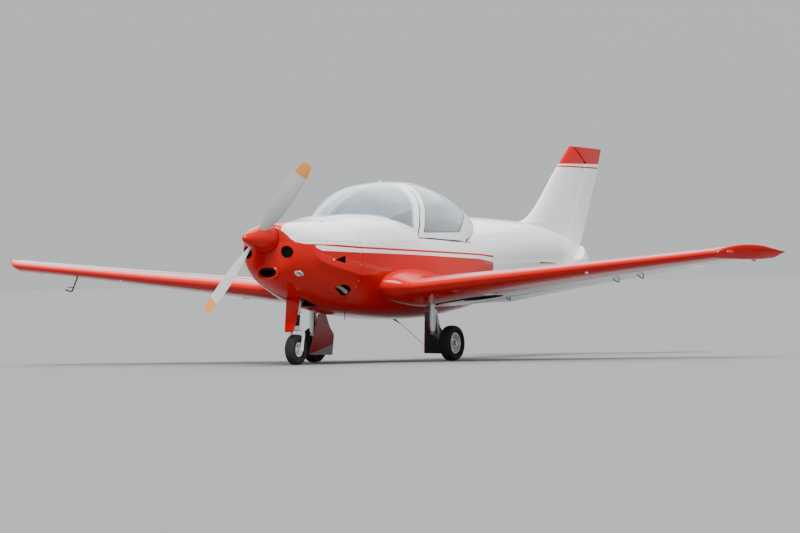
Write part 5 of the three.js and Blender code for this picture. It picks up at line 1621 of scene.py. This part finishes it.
def build_main_gear():
    """Main legs with their trailing arms, shock links, springs, brakes, wheels and doors."""
    x, s = 590, 2092
    _, aft, low = MAIN_AXLE
    leg = rod("leg", (x, s, 253), (x, s, 560), 23, sides=48)
    join(leg, rod("trunnion", (x, 2047.3, 554), (x, 2151.7, 554), 16, sides=32))
    join(leg, block("lug", (x - 12, s - 4, 408), (x + 12, s + 62, 436)))
    for start, end in ((268, 438), (470, 482)):
        join(leg, rod("sleeve", (x, s, start), (x, s, end), 27, sides=48))
    pair(leg, "main_leg_body", "root", "silver_metal", silver(), "main_leg_{side}")
    arm = rod("arm", (x + 2, s, 239), (612, aft, low), 16, sides=32)
    join(arm, rod("eye", (x - 16, s, 239), (x + 20, s, 239), 13.5, sides=32))
    join(arm, rod("shock", (x + 2, s + 46, 404.7), (x + 12, s + 96, 190), 12, sides=32))
    join(arm, rod("stub", (596, aft, low), (722, aft, low), 12, sides=32))
    pair(arm, "main_arm_body", "root", "silver_metal", silver(), "main_arm_{side}")
    share = np.linspace(0, 1, 240)[:, None]
    way = np.array([10, 50, -166.0])
    first = np.cross(way, [1, 0, 0]) / np.linalg.norm(np.cross(way, [1, 0, 0]))
    second = np.cross(way, first) / np.linalg.norm(np.cross(way, first))
    turn = share * 2 * np.pi * 8
    path = np.array([x + 2, s + 46, 396]) + way * share + 19 * (first * np.cos(turn) + second * np.sin(turn))
    pair(skin("coil", swept(path, 3.2, 10)), "main_coil", "root", "silver_metal", steel())
    disc = turned("disc", [(40, -2.5), (62, -2.5), (62, 2.5), (40, 2.5)], (624, aft, low), "x", 64)
    pair(disc, "brake_disc", "main_wheel_{side}", "steel", steel())
    caliper = rounded([(612, 2180), (640, 2180), (640, 2222), (612, 2222)], 6)
    caliper = plan_prism("caliper", caliper, 150, 186)
    pair(caliper, "brake_caliper", "root", "steel", casting())
    pair(build_brake_line(), "brake_line", "root", "black_plastic", black_plastic())
    tyre, hub, bolts = wheel_pieces("main", MAIN_AXLE, 150, 90, 100, 12)
    body = "main_wheel_{side}"
    pair(tyre, "main_tyre_body", body, "tyre_rubber", tyre_rubber(), "main_tyre_{side}")
    pair(hub, "main_hub_body", body, "silver_metal", bright_alloy(), "main_hub_{side}")
    pair(bolts, "main_bolts", body, "steel", black_plastic())
    outline = rounded([(2080, 420), (2205, 412), (2290, 300), (2372, 235), (2372, 58), (1984, 70)], 14)

    def lean(points):
        """Moves points inboard with their height, and out to the leg."""
        return points + points[:, 2:] * [[-0.12, 0, 0]] + [572, 0, 0]

    door = side_prism("door", outline, 0, 5, lean)
    join(door, rod("tie", (538, s, 330), (x - 27.3, s, 330), 7))
    pair(door, "main_door_plate", "root", "red_paint", door_paint(), "main_door_{side}")


def build_brake_line():
    """A thin pipe down the back of the leg to the brake."""
    path = [(592, 2118, 545), (592, 2120, 430), (594, 2119, 330), (600, 2135, 235)]
    path += [(612, 2175, 200), (618, 2190, 176)]
    return skin("line", swept(curve_through(path, 60), 3, 10))


# Cabin


def cushion(name, centre, size, lean, squareness=0.45, rows=40, crease=2.0):
    """A stuffed pad: a squared ellipsoid, pressed in along two seams, then leaned back."""
    up = np.linspace(-1, 1, rows + 2)[1:-1]
    angle = 2 * np.pi * np.arange(72) / 72
    ring = signed_power(np.cos(np.arcsin(up)), squareness)[:, None]
    x = ring * signed_power(np.cos(angle), squareness)
    y = ring * signed_power(np.sin(angle), squareness)
    z = np.broadcast_to(signed_power(up, squareness)[:, None], x.shape)
    seam = sum(np.exp(-(((x - at) / 0.045) ** 2)) for at in (-0.36, 0.36))
    points = np.stack([x, y, z], -1) * np.asarray(size, float)
    points[..., 2] -= seam * crease * np.sign(z) * (np.abs(z) > 0.5)
    cos, sin = math.cos(lean), math.sin(lean)
    turned_y = points[..., 1] * cos + points[..., 2] * sin
    turned_z = points[..., 2] * cos - points[..., 1] * sin
    return skin(name, np.stack([points[..., 0], turned_y, turned_z], -1) + np.asarray(centre, float))


def strap(path):
    """A flat belt, 46 mm wide and 5 mm thick, carried along a curve: rings of circles, flattened
    across the way the belt faces."""
    points = curve_through(path, 48)
    flat = swept(points, 23, 12) - points[:, None]
    ahead = np.gradient(points, axis=0)
    out = np.cross(ahead, [1.0, 0, 0])
    out /= np.linalg.norm(out, axis=1, keepdims=True)
    depth = np.einsum("ijk,ik->ij", flat, out)[..., None] * out[:, None]
    return skin("belt", points[:, None] + flat - depth + depth * (2.5 / 23))


def build_seats():
    """Two padded seats with head rests and belts."""
    seat = cushion("seat_pad", (214, 2548, 550), (163, 222, 47), lean=0.06)
    back = cushion("back_pad", (214, 2906, 800), (176, 38, 250), squareness=0.5, lean=-0.34)
    pair(seat, "seat_pad", "root", "seat_cloth", seat_cloth(), "seat_cushion_{side}", 60)
    pair(back, "back_pad", "root", "seat_cloth", seat_cloth(), "seat_back_{side}", 60)
    rest = cushion("head_pad", (214, 3040, 1108), (92, 32, 52), squareness=0.6, rows=24, lean=-0.3, crease=0)
    pair(rest, "head_pad", "root", "seat_cloth", seat_cloth(), angle=60)
    posts = [rod("post", (x, 3020, 1010), (x, 3042, 1090), 6, sides=16) for x in (184, 244)]
    pair(merged("posts", posts), "head_posts", "root", "steel", silver())
    belts = []
    for x in (160, 268):
        belts.append(strap([(x, 3000, 1040), (x, 2900, 985), (x, 2838, 800), (x * 0.4 + 130, 2790, 640)]))
    belts.append(strap([(64, 2760, 610), (214, 2700, 618), (364, 2760, 610)]))
    pair(merged("belts", belts), "seat_belts", "root", "seat_cloth", webbing())


def build_panel():
    """The instrument panel with its shade, dials, knobs and radio. The hands point each its own way."""
    panel = keep(block("panel", (-FAR, 1762, 850), (FAR, 1790, 1400)), cabin_space(1))
    panel.name = "panel_board"
    placed(panel, "root", "black_plastic", black_plastic(), "instrument_panel")
    spans = (-300, -205, -110, 110, 205, 300)
    places = [(x, z) for x in spans for z in (1035, 1125) if abs(x) < 290 or z < 1100]
    rim = [(40, 0), (43, 0), (43, 8), (40, 10), (37, 8), (37, 0)]
    rims, faces, hands = [], [], []
    for x, z in places:
        rims.append(turned("rim", rim, (x, 1789, z), "s", 40))
        faces.append(rod("face", (x, 1789, z), (x, 1792, z), 38, sides=40))
        angle = (x * 7 + z * 3) % 360
        tip = (x + 27 * math.sin(angle), 1794, z + 27 * math.cos(angle))
        hands.append(rod("hand", (x, 1794, z), tip, 1.6, 0.6, 8))
    placed(merged("dial_rims", rims), "root", "black_plastic", black_plastic())
    placed(merged("dial_faces", faces), "root", "black_plastic", dial_face())
    placed(merged("dial_hands", hands), "root", "silver_metal", lamp_glass())
    knob = [(0.5, 0), (9, 0), (9, 14), (7, 22), (0.5, 23)]
    knobs = [turned("knob", knob, (x, 1789, 930), "s", 24) for x in (-60, -20, 20, 60)]
    placed(merged("panel_knobs", knobs), "root", "black_plastic", black_plastic())
    radio = plan_prism("radio", rounded([(-80, 1788), (80, 1788), (80, 1795), (-80, 1795)], 2), 1000, 1160)
    placed(radio, "root", "black_plastic", casting())
    outline = [(1560, 1190), (1840, 1190), (1846, 1216), (1560, 1236)]
    shade = keep(body_solid(-24, 1250, 2400), side_prism("shade", outline))
    shade.name = "panel_shade"
    placed(shade, "root", "black_plastic", black_plastic())


def build_sticks():
    """Control sticks with a boot at the foot and a shaped grip."""
    way = [(214, 2250, 506), (214, 2246, 580), (214, 2240, 650), (214, 2190, 815)]
    stalk = skin("stalk", swept(curve_through(way, 48), 10.5, 20))
    way = [(214, 2194, 800), (214, 2184, 840), (214, 2172, 890), (214, 2165, 925)]
    grip = skin("grip", swept(curve_through(way, 24), 15 + 2.5 * np.sin(np.linspace(0, 9, 24)), 24))
    folds = [(32 - i * 1.4 + 2.5 * math.cos(i * math.pi), 3 + i * 5) for i in range(12)]
    boot = skin("boot", lathe_rings([(34, 0), *folds, (11, 66)], (214, 2250, 500.4), "z", 40))
    sticks = merged("sticks", [stalk, grip, boot])
    pair(sticks, "stick_body", "root", "black_plastic", black_plastic(), "control_stick_{side}")
    pedals = [block("pedal", (x - 32, 1420, 560), (x + 32, 1434, 640)) for x in (150, 280)]
    pair(merged("pedals", pedals), "rudder_pedals", "root", "silver_metal", silver())


def build_cabin_trim():
    """Rails on the sills and the shelf behind the seats."""
    station = np.linspace(2060, 2940, 40)
    points = np.stack([rows_at(DOME, station)[:, 1] - 24, station, sill_z(station) - 16], -1)
    pair(skin("rail", swept(points, 7, 16)), "sill_rail", "root", "silver_metal", silver())
    shelf = keep(block("shelf", (-FAR, 3030, 880), (FAR, 3520, 900)), cabin_space(1))
    shelf.name = "rear_shelf"
    dressed(shelf, carpet())
    placed(shelf, "root", "seat_cloth", None)


# Small pieces on the outside


def build_exhausts():
    """Pipes from under the engine out of the lower cowling, open at their ends."""
    path = [(175, 860, 789.5), (175, 860, 760), (185, 875, 710)]
    path += [(250, 930, 668), (316, 1000, 648), (352, 1064, 598)]
    points = curve_through(path, 70)
    end = points[-14:] + (points[-1] - points[-2]) * 0.5
    pipe = cut(skin("pipe", swept(points, 19, 40)), skin("bore", swept(end, 16.5, 40)))
    pair(pipe, "exhaust_pipe", "root", "steel", steel(), "exhaust_{side}")


def build_fittings():
    """Aerial, drain, vent, fuel caps, lenses and hatches."""
    z = float(rows_at(BODY, 2430)[0, 4])
    way = np.linspace((0, 2430, z + 12), (0, 2560, 322), 12)
    foot = skin("aerial", swept(way, np.linspace(21, 6, 12), 24, 0.45))
    join(foot, rod("whip", (0, 2556, 326), (0, 3075, 83), 3, 2, 16))
    cut(foot, body_solid(0.4, 2200, 3200))
    foot.name = "belly_aerial_body"
    placed(foot, "root", "white_paint", white_paint(), "belly_aerial")
    drain = rod("drain_pipe", (100, 1460, 440), (100, 1464, 360), 3.5, sides=16)
    placed(drain, "root", "black_plastic", black_plastic())
    vent = studs("vent", *on_body([937.0], [1194.0]), 17, 2.5, 24)
    pair(vent, "cowl_vent", "root", "black_plastic", black_plastic())
    station, middle, half = wing_point(1300, 0.3)
    top = middle + half
    cap = rod("cap", (1300, station, top - 3), (1300, station, top + 3), 34, 30, 48)
    pair(cap, "fuel_cap", "root", "silver_metal", silver())
    station, middle, half = wing_point(2285, 0.05)
    lens = studs("edge_lens", [(2285, station, middle - half)], [(0.08, -0.82, -0.57)], 15, 7, 24)
    pair(lens, "edge_lens", "root", "white_paint", white_paint())
    station, middle, half = wing_point(1180, 0.33)
    cover = [(62, 6), (60, -2), (52, -5), (0.5, -6), (0.5, 6)]
    rings = lathe_rings(cover, (0, 0, 0), "z", 48) * [1, 0.6, 1] + [1180, station, middle - half]
    pair(skin("cover", rings), "wing_hatch", "root", "white_paint", white_paint())


def build_tip_lamps():
    """A coloured lamp on each wing tip: an oval ball, turned to the tip's slant."""
    for side, name, material in ((1, "port_lamp", port_lens), (-1, "starboard_lamp", starboard_lens)):
        station, middle, _ = wing_point(3540, 0.14)
        polar = np.linspace(-0.48, 0.48, 20) * np.pi
        ball = lathe_rings(np.column_stack([np.cos(polar), np.sin(polar)]), (0, 0, 0), "s", 32)
        sin, cos = side * math.sin(TIP_SLANT), math.cos(TIP_SLANT)
        rings = (ball * [15, 38, 12]) @ np.array([[cos, -sin, 0], [sin, cos, 0], [0, 0, 1]])
        lamp = skin(name, rings + [side * 3524, station + 4, middle])
        placed(lamp, "root", "lamp_glass", material())


def build_pitot():
    """Bent air-data tube with two prongs under the starboard wing."""
    station, middle, half = wing_point(2900, 0.28)

    def at(along, down):
        """Point below the wing at a distance aft of the tube's foot."""
        return (-2900, station + along, middle - half - down)

    way = [at(0, -4), at(-50, 62), at(-84, 108), at(-110, 120), at(-196, 106)]
    mast = skin("mast", swept(curve_through(way, 50), 6, 20))
    join(mast, rod("prong", at(-70, 90), at(-152, 80), 4.2, sides=16))
    mast.name = "pitot_mast"
    placed(mast, "root", "black_plastic", black_plastic(), "pitot_tube")
    foot = rod("pitot_foot", at(4, -3), at(1, 4), 16, 13, 32)
    placed(foot, "root", "silver_metal", silver())


def finish_engine():
    """The engine block keeps its own shape and takes the casting's finish."""
    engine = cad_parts["engine_block"]
    engine.data.materials.clear()
    engine.data.materials.append(casting())


# Stage


# Reach of the flat floor and radius of its bend, in millimetres
FLOOR_FLAT, FLOOR_BEND = 420e3, 220e3
# The camera's place, in metres from the middle, and its focal length as a share of the picture's width
CAMERA_AWAY, CAMERA_RIGHT, CAMERA_UP = 57.5, 1.289, 0.750
CAMERA_ROLL, CAMERA_TILT = math.radians(-1.03), math.radians(-0.056)
CAMERA_FOCUS = 6964 / 800


def build_stage():
    """A pale floor that rises far away, soft daylight all round and two broad lamps."""
    settings = bpy.context.scene.aircraft_stage
    slope = np.linspace(0, math.radians(42), 40)[1:]
    rise = [*zip(FLOOR_FLAT + FLOOR_BEND * np.sin(slope), FLOOR_BEND * (1 - np.cos(slope)) - 1)]
    far, high = rise[-1]
    profile = [(0.5, -1), (30e3, -1), (FLOOR_FLAT, -1), *rise]
    profile += [(far + 900, high - 900), (FLOOR_FLAT, -900), (0.5, -900)]
    floor = skin("stage_floor", lathe_rings(profile, (0, MIDDLE, 0), "z", 128))
    floor.data.materials.append(stage_floor())
    world = bpy.data.worlds.new("daylight")
    world.use_nodes = True
    sky = Board(world.node_tree)
    way = sky.add("ShaderNodeTexCoord")["Generated"]
    height = sky.add("ShaderNodeSeparateXYZ", {}, {0: way})["Z"].limited()
    colour = sky.blend(height ** 0.6, (*settings.horizon, 1), (*settings.zenith, 1))
    shade = sky.add("ShaderNodeBackground", {}, {"Color": colour, "Strength": settings.sky})["Background"]
    sky.add("ShaderNodeOutputWorld", {}, {"Surface": shade})
    bpy.context.scene.world = world
    for name, place, spread, power in (
        ("key", (3.0, -9.0, 16.0), 34.0, settings.key),
        ("back", (-6.0, 12.0, 14.0), 60.0, settings.key * 0.35),
    ):
        light = bpy.data.lights.new(name, "SUN")
        light.energy = power
        light.angle = math.radians(spread)
        lamp = bpy.data.objects.new(name, light)
        bpy.context.scene.collection.objects.link(lamp)
        lamp.location = place
        lamp.rotation_euler = (-lamp.location).to_track_quat("-Z", "Y").to_euler()


def build_camera():
    """The camera, at a turn from straight ahead, aimed nearly level and rolled a little."""
    settings = bpy.context.scene.aircraft_stage
    turn, roll, tilt = settings.turn, CAMERA_ROLL, CAMERA_TILT
    back = np.array([math.sin(turn), -math.cos(turn), 0])
    right = np.array([math.cos(turn), math.sin(turn), 0])
    up = np.array([0, 0, 1.0])
    place = back * CAMERA_AWAY + right * CAMERA_RIGHT + up * CAMERA_UP - [0, MIDDLE / 1000, 0]
    ahead = -back * math.cos(tilt) - up * math.sin(tilt)
    top = -back * math.sin(tilt) + up * math.cos(tilt)
    axis_x = right * math.cos(roll) + top * math.sin(roll)
    axis_y = top * math.cos(roll) - right * math.sin(roll)
    camera = bpy.data.cameras.new("view")
    camera.sensor_width = 36
    camera.lens = camera.sensor_width * CAMERA_FOCUS
    camera.clip_end = 1000
    camera.dof.use_dof = False
    holder = bpy.data.objects.new("view", camera)
    columns = [*zip(axis_x, axis_y, -ahead, place), (0, 0, 0, 1)]
    holder.matrix_world = Matrix([tuple(map(float, row)) for row in columns])
    bpy.context.scene.collection.objects.link(holder)
    bpy.context.scene.camera = holder


# Settings, steps and panel


class AircraftSizes(bpy.types.PropertyGroup):
    """Small sizes that aren't set by the frame."""

    seam: FloatProperty(
        name="Seam", description="Width of the joint in the cowling, in millimetres", default=2.0, min=0.4
    )


class AircraftPaint(bpy.types.PropertyGroup):
    """Colours of the paint."""

    red: FloatVectorProperty(
        name="Red", description="Red paint", subtype="COLOR", default=(0.62, 0.002, 0.0)
    )
    white: FloatVectorProperty(
        name="White", description="White paint", subtype="COLOR", default=(0.90, 0.90, 0.89)
    )
    dust: FloatVectorProperty(
        name="Dust", description="Thin dust on the paint", subtype="COLOR", default=(0.62, 0.60, 0.55)
    )


class AircraftStage(bpy.types.PropertyGroup):
    """Light, floor and camera."""

    sky: FloatProperty(name="Sky", description="Strength of the light all round", default=0.9, min=0.0)
    zenith: FloatVectorProperty(
        name="Zenith", description="Sky overhead", subtype="COLOR", default=(0.92, 0.96, 1.0)
    )
    horizon: FloatVectorProperty(
        name="Horizon", description="Sky low down", subtype="COLOR", default=(0.55, 0.56, 0.57)
    )
    key: FloatProperty(name="Key", description="Strength of the broad lamp", default=5.4, min=0.0)
    turn: FloatProperty(
        name="Turn", description="Camera's turn to port", default=math.radians(29.95), subtype="ANGLE"
    )
    floor: FloatVectorProperty(
        name="Floor", description="Floor", subtype="COLOR", default=(0.195, 0.2, 0.2)
    )


class AIRCRAFT_OT_fuselage(bpy.types.Operator):
    """Builds the body's skin"""

    bl_idname = "aircraft.fuselage"
    bl_label = "Fuselage"

    def execute(self, context):
        build_fuselage()
        return {"FINISHED"}


class AIRCRAFT_OT_cowling(bpy.types.Operator):
    """Builds the engine cowling and its fittings"""

    bl_idname = "aircraft.cowling"
    bl_label = "Cowling"

    def execute(self, context):
        build_cowling()
        build_cowl_fittings()
        return {"FINISHED"}


class AIRCRAFT_OT_propeller(bpy.types.Operator):
    """Builds spinner, hub and blades"""

    bl_idname = "aircraft.propeller"
    bl_label = "Propeller"

    def execute(self, context):
        build_propeller()
        return {"FINISHED"}


class AIRCRAFT_OT_windscreen(bpy.types.Operator):
    """Builds the fixed windscreen"""

    bl_idname = "aircraft.windscreen"
    bl_label = "Windscreen"

    def execute(self, context):
        build_windscreen()
        return {"FINISHED"}


class AIRCRAFT_OT_canopy(bpy.types.Operator):
    """Builds the sliding canopy"""

    bl_idname = "aircraft.canopy"
    bl_label = "Canopy"

    def execute(self, context):
        build_canopy()
        return {"FINISHED"}


class AIRCRAFT_OT_wings(bpy.types.Operator):
    """Builds wings, flaps, ailerons and caps"""

    bl_idname = "aircraft.wings"
    bl_label = "Wings"

    def execute(self, context):
        build_wings()
        return {"FINISHED"}


class AIRCRAFT_OT_fin(bpy.types.Operator):
    """Builds fin and rudder"""

    bl_idname = "aircraft.fin"
    bl_label = "Fin"

    def execute(self, context):
        build_fin()
        return {"FINISHED"}


class AIRCRAFT_OT_tailplane(bpy.types.Operator):
    """Builds tailplane and elevators"""

    bl_idname = "aircraft.tailplane"
    bl_label = "Tailplane"

    def execute(self, context):
        build_tailplane()
        return {"FINISHED"}


class AIRCRAFT_OT_nose_gear(bpy.types.Operator):
    """Builds the nose gear and its door"""

    bl_idname = "aircraft.nose_gear"
    bl_label = "Nose gear"

    def execute(self, context):
        build_nose_gear()
        build_nose_door()
        return {"FINISHED"}


class AIRCRAFT_OT_main_gear(bpy.types.Operator):
    """Builds the main gear"""

    bl_idname = "aircraft.main_gear"
    bl_label = "Main gear"

    def execute(self, context):
        build_main_gear()
        return {"FINISHED"}


class AIRCRAFT_OT_seats(bpy.types.Operator):
    """Builds the seats and belts"""

    bl_idname = "aircraft.seats"
    bl_label = "Seats"

    def execute(self, context):
        build_seats()
        return {"FINISHED"}


class AIRCRAFT_OT_cockpit(bpy.types.Operator):
    """Builds panel, sticks and trim"""

    bl_idname = "aircraft.cockpit"
    bl_label = "Cockpit"

    def execute(self, context):
        build_panel()
        build_sticks()
        build_cabin_trim()
        return {"FINISHED"}


class AIRCRAFT_OT_exhausts(bpy.types.Operator):
    """Builds the exhaust pipes"""

    bl_idname = "aircraft.exhausts"
    bl_label = "Exhausts"

    def execute(self, context):
        build_exhausts()
        return {"FINISHED"}


class AIRCRAFT_OT_fittings(bpy.types.Operator):
    """Builds small outside pieces"""

    bl_idname = "aircraft.fittings"
    bl_label = "Fittings"

    def execute(self, context):
        build_fittings()
        build_tip_lamps()
        build_pitot()
        return {"FINISHED"}


class AIRCRAFT_OT_engine(bpy.types.Operator):
    """Gives the engine block its finish"""

    bl_idname = "aircraft.engine"
    bl_label = "Engine"

    def execute(self, context):
        finish_engine()
        return {"FINISHED"}


class AIRCRAFT_OT_stage(bpy.types.Operator):
    """Builds floor, light and camera"""

    bl_idname = "aircraft.stage"
    bl_label = "Stage"

    def execute(self, context):
        build_stage()
        build_camera()
        return {"FINISHED"}


STEPS = [
    AIRCRAFT_OT_fuselage, AIRCRAFT_OT_cowling, AIRCRAFT_OT_propeller, AIRCRAFT_OT_windscreen,
    AIRCRAFT_OT_canopy, AIRCRAFT_OT_wings, AIRCRAFT_OT_fin, AIRCRAFT_OT_tailplane,
    AIRCRAFT_OT_nose_gear, AIRCRAFT_OT_main_gear, AIRCRAFT_OT_seats, AIRCRAFT_OT_cockpit,
    AIRCRAFT_OT_exhausts, AIRCRAFT_OT_fittings, AIRCRAFT_OT_engine, AIRCRAFT_OT_stage,
]


class AIRCRAFT_PT_steps(bpy.types.Panel):
    """Lists the steps in the sidebar."""

    bl_label = "Aircraft"
    bl_space_type = "VIEW_3D"
    bl_region_type = "UI"
    bl_category = "Aircraft"

    def draw(self, context):
        for kind in STEPS:
            self.layout.operator(kind.bl_idname)


CLASSES = [AircraftSizes, AircraftPaint, AircraftStage, *STEPS, AIRCRAFT_PT_steps]
GROUPS = {"aircraft_sizes": AircraftSizes, "aircraft_paint": AircraftPaint, "aircraft_stage": AircraftStage}


def register():
    """Makes Blender know the settings, the steps and the panel."""
    for kind in CLASSES:
        bpy.utils.register_class(kind)
    for name, group in GROUPS.items():
        setattr(bpy.types.Scene, name, PointerProperty(type=group))


def unregister():
    """Takes them away again."""
    for name in GROUPS:
        delattr(bpy.types.Scene, name)
    for kind in reversed(CLASSES):
        bpy.utils.unregister_class(kind)


def main():
    """Registers the add-on and builds everything."""
    register()
    for kind in STEPS:
        group, name = kind.bl_idname.split(".")
        getattr(getattr(bpy.ops, group), name)()


if __name__ == "__main__":
    main()
